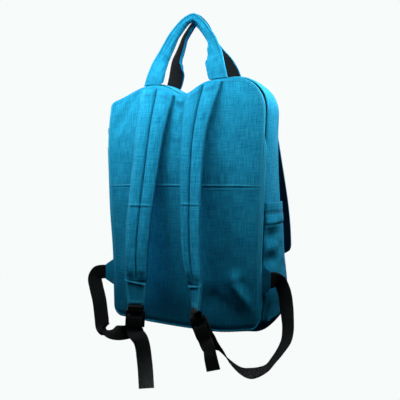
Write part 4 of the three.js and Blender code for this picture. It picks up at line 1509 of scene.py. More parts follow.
    def front_panel(self) -> None:
        """Outer front wall."""
        form = self.form
        height = self.heights(70)[:, None]
        x = form.across(height, np.linspace(0, 1, 64)[None, :])
        soft = self.front_soft.at(x, height) * np.sin(np.pi * height / form.bag_height)
        out = form.front_relief(x, height) + soft * (1 - (x / form.half_width) ** 4)
        outer = form.place(x, height, 1.0, out)
        inner = form.place(x, height, 1.0, out - form.canvas)
        piece = cloth_skin(outer, inner, paired(x, height)).build("front_panel_cloth")
        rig.sheet(piece, flat=self.front_flat, held=Hold.STRETCHED.value)
        dress(piece, Slot.CANVAS, self.finishes.canvas, "front_panel")

    def corner(self, edge: Edge, depth: Array, hollow: tuple[Bump, Bump], rise: float) -> Array:
        """Hollow and slanting ridge at the gusset's lower right corner, for its relief and for its painted shade and
        highlight.

        Args:
            edge: places along the pattern's edge, as a column.
            depth: depths behind the back face.
            hollow: the hollow by depth and by height; in the colour, the painted shade there.
            rise: height of the ridge; in the colour, the strength of its painted highlight.

        Returns:
            Both together, and 0 off the right side.
        """
        ridge = self.ridge.at(edge.height + self.ridge_slope * depth) * self.ridge_end.down(depth)
        return (hollow[0].at(depth) * hollow[1].at(edge.height) + rise * ridge) * (edge.nx > 0.5)

    def gusset_grid(self, inward: float, edge: Edge, share: Array) -> Array:
        """Grid of the gusset's face.

        Args:
            inward: depth below its outer face.
            edge: places along the pattern's edge, as a column.
            share: depth shares of each place.

        Returns:
            Points in rows along the edge.
        """
        form = self.form
        depth = share * form.depth(edge.height)
        soft = sum(layer.at(edge.height + edge.x, depth) for layer in self.gusset_soft)
        soft = soft * np.sin(np.pi * np.clip(share, 0, 1)) ** 0.8
        past = depth - form.mouth_share(edge.height) * form.depth(edge.height)
        rolled = self.hem_rise * (1 - smooth(past, self.hem - self.hem_step, self.hem))
        rolled = rolled * form.opened(edge.height)
        slouch = self.corner(edge, depth, self.dent, self.ridge_rise) * self.corner_start.up(depth)
        return form.on_gusset(edge, share, form.dome(edge, share) + soft + slouch + rolled - inward)

    def gusset(self) -> None:
        """Side strip up the left, over the top and down the right."""
        form = self.form
        edge = form.upper_edge(form.base_radius + form.gap, 88, 76, 18).column()
        even = np.linspace(0, 1, 34)[None, :]
        share = blend(form.mouth_share(edge.height), form.front_share(edge.height), even)
        depth = share * form.depth(edge.height)
        outer = self.gusset_grid(0.0, edge, share)
        inner = self.gusset_grid(form.canvas, edge, share)
        # Gusset colour: painted shade line beside the welt, a pale mouth edge, painted shade and highlight at the
        # lower right corner, and painted shade towards the bottom.
        rub = blend(self.side_shade_line.at(even), self.mouth_wear.at(even), form.opened(edge.height))
        rub = rub + self.corner(edge, depth, self.shade, self.ridge_highlight)
        rub = np.clip(rub - self.grime * self.gusset_low_shade.down(edge.height), -1, 1)
        skin = cloth_skin(outer, inner, paired(depth, arc_lengths(outer[:, 0])[:, None]), rub)
        piece = skin.build("gusset_cloth")
        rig.sheet(piece, flat=self.gusset_flat, held=Hold.STRETCHED.value, area=self.gusset_area)
        dress(piece, Slot.CANVAS, self.finishes.canvas, "gusset")

    def base(self) -> None:
        """Bottom strip with rounded corners."""
        form = self.form
        edge = form.lower_edge(64, 16).column()
        ends = ((form.back_wall + form.gap) / form.depth(0.0), form.front_share(0.0))
        share = np.linspace(*ends, 32)[None, :]
        soft = self.base_soft.at(edge.x, 3 * share) * np.sin(np.pi * share)
        out = form.dome(edge, share) + soft
        outer = form.on_gusset(edge, share, out)
        inner = form.on_gusset(edge, share, out - form.canvas)
        along = arc_lengths(outer[:, 0])[:, None]
        # Painted shade: the base is darker, easing a little towards the front.
        grime = self.base_shade + self.base_shade_lift * self.base_shade_easing.up(share) + 0 * along
        pattern = paired(share * form.depth(0.0), along)
        piece = cloth_skin(outer, inner, pattern, grime).build("base_cloth")
        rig.sheet(piece, flat=self.base_flat, held=Hold.STRETCHED.value, area=self.base_area)
        dress(piece, Slot.CANVAS, self.finishes.canvas, "base_panel")

    def welt(self) -> None:
        """Raised seam edge down the right, along the base and up the left."""
        form = self.form
        side = form.upper_edge(form.base_radius, 60, 2, 2)
        side = side.kept(side.height <= form.mouth_closed)
        right, left = side.kept(side.nx > 0), side.kept(side.nx < 0)
        base = form.lower_edge(70, 14)
        order = np.arange(len(base.x))[::-1][1:-1]
        path = right.then(base.kept(order)).then(left)
        span = arc_lengths(form.on_gusset(path, 0.0, np.zeros(len(path.x))))
        grown = self.welt_start.up(span) * self.welt_stop.up(span[-1] - span)
        slim = blend(self.welt_least, 1.0, grown)
        points = form.on_gusset(path, 0.0, self.welt_full * slim + form.gap)
        points[:, 1] += self.welt_radius * slim
        route, share = SmoothRoute(points), np.linspace(0, 1, 420)
        fine = route.sample(share)
        reach = arc_lengths(fine)
        girth = np.interp(share, np.linspace(0, 1, len(slim)), slim)
        ripple = self.welt_pucker * np.sin(2 * np.pi * reach / self.welt_pitch)
        skin = tube_skin(fine, self.welt_full * girth * (1 + ripple))
        level = skin.points[:, 2] - form.base_z
        # Painted highlight along the welt above its lowest part, and painted shade near the base.
        grime = self.welt_low_shade * self.welt_shaded_below.down(level)
        skin.rub = self.welt_highlight * self.welt_rubbed.up(level) - grime
        dress(skin.build("seam_welt_cord"), Slot.CANVAS, self.finishes.canvas, "seam_welt")

    def stitches(self) -> None:
        """Stitch rows of the cross seam, the panel's border and the mouth."""
        form = self.form
        run = StitchRun()
        inset, skins = self.stitch_inset, []
        x = np.linspace(-form.half_width + 5, form.half_width - 5, 160)
        for above in self.seam_stitches:
            skins.append(self.panel_row(run, x, np.full_like(x, form.seam_height + above)))
        height = np.linspace(18, form.mouth_closed, 150)
        for side in Side:
            x = np.full_like(height, side.value * (form.half_width - inset))
            skins.append(self.panel_row(run, x, height))
        edge = form.upper_edge(form.base_radius, 30, 60, 14)
        edge = edge.kept(edge.height >= form.mouth_closed + 10)
        skins.append(self.panel_row(run, edge.x - edge.nx * inset, edge.height - edge.nh * inset))
        column = edge.column()
        past = np.array((self.hem + 1.0, self.hem + 3.0))[None, :]
        share = form.mouth_share(column.height) + past / form.depth(column.height)
        grid = self.gusset_grid(0.0, column, share)
        out = unit(np.stack((edge.nx, 0 * edge.nx, edge.nh), axis=1) + 1e-6)
        skins.append(run.along(grid[:, 0], out))
        skin = all_joined(skins)
        dress(skin.build("shell_stitches"), Slot.CANVAS, self.finishes.blue_thread)

    def panel_row(self, run: StitchRun, x: Array, height: Array) -> Skin:
        """Stitches on the back panel along places of its pattern."""
        points = self.form.place(x, height, 0.0, -self.form.back_relief(x, height))
        return run.along(points, facing((0.0, -1.0, 0.0), len(points)))

    def make(self) -> None:
        """Builds the shell's pieces."""
        self.back_panel()
        self.front_panel()
        self.gusset()
        self.base()
        self.welt()
        self.stitches()


@dataclass
class Zip:
    """Zip along the mouth slit: two tapes with teeth, and a slider."""

    form: HungForm
    finishes: Finishes
    thickness: float = 1.2
    width: float = 10.0
    inset: float = 2.0
    lip: float = 1.0
    seat: float = 1.0
    lip_after: float = 30.0
    columns: int = 6
    tooth: StitchRun = StitchRun(pitch=1.7, length=2.2, thick=0.55, sink=0.0)
    tooth_stand: float = 0.6
    slider_height: float = 340.0
    slider_share: float = 0.13
    slider_stand: float = 3.0
    slider_tilt: float = 14.0
    slider_thick: float = 1.8
    slider_bevel: float = 0.55
    pull_body: float = 11.0
    pull_width: float = 8.0
    pull_length: float = 24.0

    def edge(self) -> Edge:
        """Edge of the pattern where the slit runs."""
        edge = self.form.upper_edge(self.form.base_radius, 90, 90, 20)
        return edge.kept(edge.height >= self.form.mouth_closed)

    def back_tape(self) -> None:
        """Tape behind the back panel's top edge."""
        form, edge = self.form, self.edge().column()
        inset = self.inset + self.width * np.linspace(0, 1, self.columns)[None, :]
        x, height = edge.x - edge.nx * inset, edge.height - edge.nh * inset
        deep = form.back_wall + self.seat - form.back_relief(x, height)
        outer = form.place(x, height, 0.0, deep)
        inner = form.place(x, height, 0.0, deep + self.thickness)
        tape = cloth_skin(outer, inner, paired(inset, arc_lengths(outer[:, 0])[:, None]))
        lifted = inner[:, 0] + np.array((0.0, self.tooth_stand, 0.0))
        teeth = self.tooth.along(lifted, facing((0.0, 1.0, 0.0), len(lifted)), crosswise=True)
        piece = tape.joined(teeth).build("zip_tape_back_teeth")
        dress(piece, Slot.WEBBING, self.finishes.webbing, "zip_tape_back")

    def front_tape(self) -> None:
        """Tape under the gusset's edge."""
        form, edge = self.form, self.edge().column()
        rim, depth = form.mouth_share(edge.height), form.depth(edge.height)
        lip = self.lip * smooth(edge.height, form.mouth_closed + self.lip_after, form.mouth_open)
        clear = (form.back_wall + 2 * self.seat + self.thickness) / depth
        start = np.maximum(rim - lip / depth, clear)
        share = start + np.linspace(0, 1, self.columns)[None, :] * (lip + self.width) / depth
        out = form.dome(edge, rim) - form.canvas - self.seat
        outer = form.on_gusset(edge, share, out)
        inner = form.on_gusset(edge, share, out - self.thickness)
        tape = cloth_skin(outer, inner, paired(share * depth, arc_lengths(outer[:, 0])[:, None]))
        side = np.stack((edge.nx[:, 0], 0 * edge.nx[:, 0], edge.nh[:, 0]), axis=1)
        teeth = self.tooth.along(blend(outer[:, 0], inner[:, 0], 0.5), side, crosswise=True)
        piece = tape.joined(teeth).build("zip_tape_front_teeth")
        dress(piece, Slot.WEBBING, self.finishes.webbing, "zip_tape_front")

    def slider(self) -> None:
        """Slider with its pull at the left end of the slit."""
        half, neck = self.pull_width / 2, self.pull_width / 4
        outline = (
            (-half, 0.0),
            (-half, self.pull_body),
            (half, self.pull_body),
            (half, 0.0),
            (neck, -neck),
            (neck, -self.pull_length),
            (-neck, -self.pull_length),
            (-neck, -neck),
        )
        mesh = bmesh.new()
        plate = mesh.faces.new([mesh.verts.new((a, b, 0.0)) for a, b in outline])
        spots, faces = moulded(mesh, [plate], self.slider_thick, self.slider_bevel, 3)
        edge = Edge.spot(-self.form.half_width, self.slider_height, -1.0)
        seat = self.form.on_gusset(edge, self.slider_share, self.slider_stand)[0]
        tilt = math.radians(self.slider_tilt)
        across = np.array((math.sin(tilt), -math.cos(tilt), 0.0))
        outward = np.array((-math.cos(tilt), -math.sin(tilt), 0.0))
        points = seat + spots[:, :1] * across + spots[:, 1:2] * UP + spots[:, 2:] * outward
        piece = Skin(points, faces, spots[:, :2]).build("zip_slider_pull", PLASTIC_CREASE)
        dress(piece, Slot.PLASTIC, self.finishes.plastic, "zip_slider")

    def make(self) -> None:
        """Builds the zip's pieces."""
        self.back_tape()
        self.front_tape()
        self.slider()


@dataclass
class SidePocket:
    """Open-topped pocket over the gusset, gathered at its hem."""

    form: HungForm
    finishes: Finishes
    side: Side
    node: str
    low: float = 15.0
    high: float = 202.0
    gape: float = 8.0
    close_over: float = 72.0
    hem: float = 30.0
    gather: float = 0.2
    fullness: float = 0.7
    fold_rise: float = 3.0
    fold_length: float = 39.0
    fold_phase: float = 120.0
    fold_from: float = 75.0
    fold_full: float = 118.0
    fold_stop: float = 162.0
    fold_depth: Ramp = Ramp(0.2, 0.5)
    soft_seed: int = 51
    pressed: float = 0.9
    pressed_spread: float = 1.4
    doubled: float = 0.8
    seam_in: float = 3.6
    seam_rows: tuple[float, ...] = (14.0, 17.5, 34.0)
    # Painted highlight on the top edge, painted shade in the stitched rows and along the back seam.
    hem_highlight: Bump = Bump(1, 0, 2.2)
    row_shade: Bump = Bump(-0.6, 0, 1.2)
    edge_shade: Bump = Bump(-0.7, 0, 0.03)
    flat: tuple[float, float] = (0.118, 0.182)
    area: float = 0.0165

    def grid(self, inward: float, height: Array, share: Array, arch: Array) -> Array:
        """Grid of the pocket's face.

        Args:
            inward: depth below its outer face.
            height: heights on the pattern, as a column.
            share: depth shares of each place.
            arch: fullness across the pocket, from 0 at its seams to 1.

        Returns:
            Points in rows by height.
        """
        form = self.form
        flat = np.zeros_like(height)
        edge = Edge(flat + self.side.value * form.half_width, height, flat + self.side.value, flat)
        closing = smooth(height, self.low, self.low + self.close_over)
        hem = smooth(height, self.high - self.hem, self.high)
        wave = np.sin(2 * np.pi * (height - self.fold_phase) / self.fold_length)
        fade = smooth(height, self.fold_from, self.fold_full)
        fade = fade * (1 - smooth(height, self.fold_stop, self.high))
        fold = self.fold_rise * wave * fade * self.fold_depth.down(share)
        depth, seed = share * form.depth(height), self.soft_seed + self.side.value
        layers = (ClothNoise(seed, 1.1, 34, 27), ClothNoise(seed + 4, 0.5, 15, 11))
        soft = sum(layer.at(depth, height) for layer in layers)
        rows = [bell(height, self.high - row, self.pressed_spread) for row in self.seam_rows]
        lowest = self.high - self.seam_rows[-1]
        stitched = self.doubled * smooth(height, lowest - 1, lowest + 1) - self.pressed * sum(rows)
        gape = (self.gape * (1 - self.gather * hem) + soft) * closing
        lift = np.maximum(gape * arch + fold * closing * arch**0.5, 0)
        out = form.dome(edge, share) + 3 * form.gap + form.canvas + lift + stitched
        return form.on_gusset(edge, share, out - inward)

    def make(self) -> None:
        """Builds the pocket and its stitches."""
        form = self.form
        height = np.linspace(self.low, self.high, 120)[:, None]
        across = np.linspace(0, 1, 40)[None, :]
        start = (form.back_wall + self.seam_in) / form.depth(height)
        share = blend(start, form.front_share(height), across)
        arch = np.sin(np.pi * across) ** self.fullness
        outer = self.grid(0.0, height, share, arch)
        inner = self.grid(form.canvas, height, share, arch)
        below = self.high - height
        # Painted highlight along the top edge; painted shade in the stitched rows and along the back seam.
        rub = self.hem_highlight.at(below) + sum(self.row_shade.at(below - row) for row in self.seam_rows)
        rub = rub + self.edge_shade.at(across)
        skin = cloth_skin(outer, inner, paired(share * form.depth(height), height), rub)
        piece = skin.build(f"{self.node}_cloth")
        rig.sheet(piece, flat=self.flat, held=Hold.GATHERED.value, area=self.area)
        dress(piece, Slot.CANVAS, self.finishes.canvas, self.node)
        out = facing((float(self.side.value), 0.0, 0.0), outer.shape[1])
        nearest = [int(np.argmin(np.abs(below[:, 0] - row))) for row in self.seam_rows]
        skin = all_joined([StitchRun().along(outer[at], out) for at in nearest])
        dress(skin.build(f"{self.node}_stitches"), Slot.CANVAS, self.finishes.blue_thread)


@dataclass
class FrontPocket:
    """Full pocket on the outer front with a dark-lined flap over its mouth."""

    form: HungForm
    finishes: Finishes
    low: float = 24.0
    high: float = 212.0
    half: float = 124.0
    depth: float = 38.0
    mouth: float = 0.5
    full_at: float = 0.55
    close_over: float = 0.14
    pocket_soft: tuple[ClothNoise, ...] = (ClothNoise(61, 1.4, 44, 36), ClothNoise(63, 0.5, 17, 15))
    flap_soft: ClothNoise = ClothNoise(71, 1.3, 62, 58)
    hem: float = 20.0
    hem_line: Bump = Bump(-0.8, 0, 1.4)
    border: Bump = Bump(-0.5, 7, 1.3)
    lining: float = 1.0
    flap: Table = Table(
        ("height", "off", "half"),
        (
            (322, 2.3, 145),
            (296, 6, 149),
            (236, 24, 151),
            (181, 41, 149),
            (125, 51, 146),
            (110, 53, 141),
            (103, 53.5, 130),
        ),
    )
    pocket_flat: tuple[float, float] = (0.29, 0.205)
    flap_flat: tuple[float, float] = (0.3, 0.228)

    def pocket(self) -> None:
        """The pocket's cloth, closed at its sides and bottom."""
        form = self.form
        rise = (np.linspace(0, 1, 90) ** 1.4)[:, None]
        even = np.linspace(-1, 1, 120)[None, :]
        share = np.sign(even) * (1 - (1 - np.abs(even)) ** 1.7)
        height = blend(self.low, self.high, rise)
        x = share * self.half
        side = 1 - np.abs(share) ** 7
        foot = np.sqrt(smooth(rise, 0, self.close_over))
        fill = blend(1.0, self.mouth, smooth(rise, self.full_at, 1))
        soft = sum(layer.at(x, height) for layer in self.pocket_soft)
        below = height - (self.high - self.hem)
        bulge = (self.depth * fill + soft + self.hem_line.at(below)) * side * foot
        out = form.front_relief(x, height) + 2 * form.gap + form.canvas + bulge
        outer = form.place(x, height, 1.0, out)
        inner = form.place(x, height, 1.0, out - form.canvas)
        steps = np.linalg.norm(np.diff(outer, axis=1, prepend=outer[:, :1]), axis=2)
        pattern = paired(np.cumsum(steps, axis=1), height)
        piece = cloth_skin(outer, inner, pattern).build("front_pocket_cloth")
        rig.sheet(piece, flat=self.pocket_flat, held=Hold.GATHERED.value)
        row = outer[int(np.argmin(np.abs(below[:, 0]))), 6:-6]
        stitches = StitchRun().along(row, facing((0.0, 1.0, 0.0), len(row)))
        dress(stitches.build("front_pocket_stitches"), Slot.CANVAS, self.finishes.blue_thread)
        dress(piece, Slot.CANVAS, self.finishes.canvas, "front_pocket")

    def flap_grid(self, out: float) -> tuple[Array, Array]:
        """Grid of the flap.

        Args:
            out: distance off its inner face.

        Returns:
            Points and weave coordinates in rows from the top.
        """
        form = self.form
        keys = self.flap.column("height")
        height = blend(keys[-1], keys[0], 1 - (1 - np.linspace(0, 1, 90)) ** 1.3)[:, None]
        half = self.flap.at("half", height)
        x = np.linspace(-1, 1, 90)[None, :] * half
        level = (keys[-1] - height) / (keys[-1] - keys[0])
        soft = self.flap_soft.at(x, height) * level
        off = form.front_relief(x, height) + self.flap.at("off", height) + soft
        inside = np.minimum(np.abs(np.abs(x) - half), height - keys[0])
        border = self.border.at(inside) if out > 0 else 0.0
        points = form.place(x, height, 1.0, off + out + border)
        along = arc_lengths(points[:, points.shape[1] // 2])[:, None]
        return points, paired(x, along)

    def flap_pieces(self) -> None:
        """The flap's canvas, its dark lining and the border stitches."""
        form = self.form
        outer, pattern = self.flap_grid(form.canvas)
        inner, _ = self.flap_grid(0.0)
        cover = cloth_skin(outer, inner, pattern).build("front_flap_cloth")
        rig.sheet(cover, flat=self.flap_flat, held=Hold.HUNG.value)
        dress(cover, Slot.CANVAS, self.finishes.canvas, "front_flap")
        over, _ = self.flap_grid(-form.gap)
        under, _ = self.flap_grid(-form.gap - self.lining)
        dark = cloth_skin(over, under, pattern).build("front_flap_lining_cloth")
        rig.sheet(dark, flat=self.flap_flat, held=Hold.HUNG.value)
        dress(dark, Slot.WEBBING, self.finishes.lining, "front_flap_lining")
        rim = np.vstack((outer[4:-6, 3], outer[-6, 3:-3], outer[4:-6, -4][::-1]))
        stitches = StitchRun().along(rim, facing((0.0, 0.9, 0.3), len(rim)))
        dress(stitches.build("front_flap_stitches"), Slot.CANVAS, self.finishes.blue_thread)

    def make(self) -> None:
        """Builds the pocket and its flap."""
        self.pocket()
        self.flap_pieces()


@dataclass
class Handle:
    """Carry handle: canvas over webbing, flat at its feet and folded lengthwise at the grip.

    The arch's rows hold the rise over the bag's top edge, the outer edge of the left and the right leg,
    the inward lean, the cloth that shows on each leg before it folds under, and the whole width.
    Wear and painted light are above 0 where wear leaves the cloth pale, below 0 where shade is painted.
    """

    form: HungForm
    finishes: Finishes
    name: str
    facing: float
    foot_y: float
    arch: tuple[tuple[float, ...], ...]
    cover: float = 1.8
    webbing: float = 1.5
    between: float = 1.05
    trim: float = 1.0
    seat: float = 1.3
    grip_offset: float = 10.0
    fold_radius: float = 2.9
    fold_degrees: float = 170.0
    fold_flat: float = 3.0
    fold_ease: float = 3.0
    fine: int = 6
    puff: float = 0.6
    edge_ease: Ramp = Ramp(0, 3.5)
    edge_seam: Bump = Bump(0.7, 3.2, 0.9)
    ripple: ClothNoise = ClothNoise(81, 0.3, 12, 16)
    pleat: float = 0.6
    pleat_pitch: float = 6.5
    pleat_wander: ClothNoise = ClothNoise(83, 1.5, 30, 40)
    pleat_inset: Ramp = Ramp(1, 4)
    gathered: Ramp = Ramp(46, 64)
    edge_wear: Bump = Bump(0.6, 0, 1.6)
    # Painted shade in the stitched grooves and the pleats, and the whole cover darkened as painted shade.
    seam_shade: Bump = Bump(-0.5, 3.2, 0.9)
    soil: float = 0.22
    pleat_shade: float = 0.35
    pleat_shift: float = 2.0
    pleat_shade_rise: Ramp = Ramp(40, 70)
    stitch: StitchRun = StitchRun(pitch=3.6, length=2.6, thick=0.4)

    def cut(self, trim: float) -> dict[str, object]:
        """Flat cut of one strip, which narrows towards the grip.

        Args:
            trim: how far its edges lie inside the cover's.

        Returns:
            Flat size and area in metres.
        """
        rows = self.rows()
        reach, wide = arc_lengths(rows[:, :3]), rows[:, 4] - 2 * trim
        area = float(np.sum((wide[1:] + wide[:-1]) / 2 * np.diff(reach)))
        return {"flat": (float(wide.max()) / 1000, float(reach[-1]) / 1000), "area": area / 1e6}

    def rows(self) -> Array:
        """Rows from the left foot over the top to the right foot.

        Returns:
            Outer edge in a frame that faces +Y, cloth shown and whole width, five columns.
        """
        rise, left, right, lean, show_left, show_right, wide = np.array(self.arch).T
        y, z = blend(abs(self.foot_y), self.grip_offset, lean), self.form.top_z + rise
        left_leg = np.stack((left, y, z, show_left, wide), axis=1)
        right_leg = np.stack((right, y, z, show_right, wide), axis=1)
        return np.vstack((left_leg[:-1], right_leg[::-1]))

    def folded(self, inward: Array, offset: Number, show: Array, wide: Array) -> tuple[Array, Array]:
        """Place across the cloth, which turns under after the width that shows.

        Args:
            inward: distance along the cloth from its outer edge.
            offset: distance off the cloth's middle face.
            show: width that shows.
            wide: whole width of the cloth.

        Returns:
            Sideways and outward distances.
        """
        turn = self.fold_radius / np.clip((wide - show - self.fold_flat) / self.fold_ease, 1e-3, 1)
        bend = self.fold_radius * math.radians(self.fold_degrees)
        angle = np.clip(inward - show, 0, bend) / turn
        past = np.maximum(inward - show - bend, 0)
        s = -show - turn * np.sin(angle) - past * np.cos(angle) - offset * np.sin(angle)
        n = -turn * (1 - np.cos(angle)) - past * np.sin(angle) + offset * np.cos(angle)
        flat = inward <= show
        return np.where(flat, -inward, s), np.where(flat, offset + 0 * inward, n)

    def inward_stops(self, trim: float, show: Array, wide: Array) -> Array:
        """Places across the cloth, close together in the fold.

        Args:
            trim: how far its edges lie inside the cover's.
            show: width that shows.
            wide: whole width.

        Returns:
            Distances from the outer edge, in rows along the handle.
        """
        bend = np.minimum(self.fold_radius * math.radians(self.fold_degrees), 0.7 * (wide - show))
        flat = blend(trim, show, np.linspace(0, 1, 15)[None, :])
        turned = show + bend * np.linspace(0, 1, 12)[None, 1:]
        rest = blend(show + bend, wide - trim, np.linspace(0, 1, 7)[None, 1:])
        return np.concatenate((flat, turned, rest), axis=1)

    def strip(self, trim: float, offset: float, puff: float = 0.0) -> tuple[Array, Array]:
        """Grid of one face of the strip.

        Args:
            trim: how far its edges lie inside the cover's.
            offset: distance off the cloth's middle face.
            puff: extra rise between the edge stitches.

        Returns:
            Points and weave coordinates in rows along the handle.
        """
        rows = self.rows()
        steps = len(rows) - 1
        share = np.linspace(0, 1, steps * self.fine + 1)
        route = SmoothRoute(rows[:, :3])
        line, tangent = route.sample(share), route.tangents(share)
        widths = Table(("row", "show", "wide"), tuple((k, *row[3:]) for k, row in enumerate(rows)))
        show, wide = (widths.at(name, share * steps)[:, None] for name in ("show", "wide"))
        outward = np.array((0.0, 1.0, 0.0))
        normal = unit(outward - tangent * (tangent @ outward)[:, None])
        beside = -np.cross(normal, tangent)
        inward = self.inward_stops(trim, show, wide)
        reach = arc_lengths(line)[:, None]
        rim = np.minimum(inward, wide - inward)
        rise = puff * (self.edge_ease.up(rim) - self.edge_seam.at(rim))
        if puff:
            rise = rise + self.ripple.at(inward, reach)
        turns = 2 * np.pi * inward / self.pleat_pitch + self.pleat_wander.at(inward, reach)
        gathered = self.gathered.up(line[:, 2:] - self.form.top_z) * self.pleat_inset.up(rim)
        pleat = puff * self.pleat * np.sin(turns) * gathered
        s, n = self.folded(inward, offset + rise + pleat, show, wide)
        points = line[:, None] + beside[:, None] * s[..., None] + normal[:, None] * n[..., None]
        seat = self.form.top_z + self.form.sag(points[..., 0], self.form.bag_height) + self.seat
        for end, steps in ((0, np.arange(self.fine)), (-1, -1 - np.arange(self.fine))):
            fade = (1 - np.arange(self.fine) / self.fine) ** 2
            points[steps, :, 2] += fade[:, None] * (seat[end] - points[end, :, 2])[None, :]
        points[..., 1] *= self.facing
        return points, paired(inward, reach)

    def make(self) -> None:
        """Builds the cover, the webbing inside and the edge stitches."""
        outer, pattern = self.strip(0.0, self.cover, self.puff)
        inner, _ = self.strip(0.0, 0.0)
        inward = pattern[..., 0]
        # Edges pale from wear; painted shade in the stitched grooves, over the whole cover and in the gathered pleats.
        rub = self.edge_wear.at(inward) + self.seam_shade.at(inward) - self.soil
        pleats = np.sin(2 * np.pi * inward / self.pleat_pitch + self.pleat_shift) ** 2
        drawn = self.pleat_shade_rise.up(outer[..., 2] - self.form.top_z)
        rub = np.clip(rub - self.pleat_shade * drawn * pleats, -1, 1)
        cover = cloth_skin(outer, inner, pattern, rub).build(f"handle_{self.name}_canvas")
        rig.sheet(cover, held=Hold.FOLDED.value, **self.cut(0.0))
        dress(cover, Slot.CANVAS, self.finishes.canvas, f"handle_{self.name}_cover")
        over, ribbed = self.strip(self.trim, -self.between)
        under, _ = self.strip(self.trim, -self.between - self.webbing)
        lining = cloth_skin(over, under, ribbed).build(f"handle_{self.name}_webbing_strip")
        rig.sheet(lining, held=Hold.FOLDED.value, **self.cut(self.trim))
        dress(lining, Slot.WEBBING, self.finishes.webbing, f"handle_{self.name}_webbing")
        normals = outward_of(outer)
        if (normals[2, :, 1].mean() > 0) != (self.facing > 0):
            normals = -normals
        skin = self.stitch.along(outer[:, 2], normals[:, 2])
        dress(skin.build(f"handle_{self.name}_stitches"), Slot.CANVAS, self.finishes.blue_thread)


BACK_ARCH = (
    (0, -85, 78, 0, 31, 31, 34),
    (22, -77.8, 72.3, 0.12, 27.4, 31, 34),
    (38, -72, 67, 0.31, 23.8, 30.5, 34),
    (47, -68, 63.7, 0.458, 21.6, 28, 34),
    (53, -64.3, 60.6, 0.51, 20, 24.5, 33),
    (59, -60, 57.2, 0.562, 18.4, 20.5, 32),
    (66, -55.9, 53.8, 0.621, 16.8, 17, 30.5),
    (76, -49.7, 47.8, 0.705, 15.2, 12.5, 28),
    (88, -42.3, 38.4, 0.805, 13.4, 9.8, 27),
    (99.4, -32, 28.8, 0.895, 11.2, 8, 25.5),
    (108.8, -21.8, 20, 0.968, 9.4, 7.6, 25),
    (115.5, -10.5, 12, 1, 8, 7.6, 25),
    (118.5, 3.5, 3.5, 1, 7.6, 7.6, 25),
)

FRONT_HANDLE_STAND = 1.05

FRONT_ARCH = (
    (0, -75, 80, 0, 28, 28, 31),
    (22, -67.5, 72.3, 0.12, 28, 28, 31),
    (38, -62, 64, 0.31, 26, 28, 31),
    (47, -58, 57.6, 0.458, 22.5, 23, 29),
    (53, -55, 52, 0.51, 19, 17, 26.5),
    (59, -50.8, 46.5, 0.562, 16, 13, 23.5),
    (66, -45.6, 41, 0.621, 13.4, 11, 21),
    (76, -39.2, 34, 0.705, 11.2, 9, 18.5),
    (88, -31.8, 25.5, 0.805, 9.4, 8, 17),
    (99, -21.8, 16.5, 0.895, 8.2, 7, 16),
    (108, -12.8, 8.5, 0.968, 7.4, 6.5, 15.5),
    (113.5, -6.5, 2.5, 1, 7, 7, 15.5),
    (115.5, -1.5, -1.5, 1, 7, 7, 15.5),
)


@dataclass(frozen=True)
class Bar:
    """Rounded bar of a ladder lock, by its level below the top bar and its place ahead."""

    level: float
    ahead: float
    radius: float


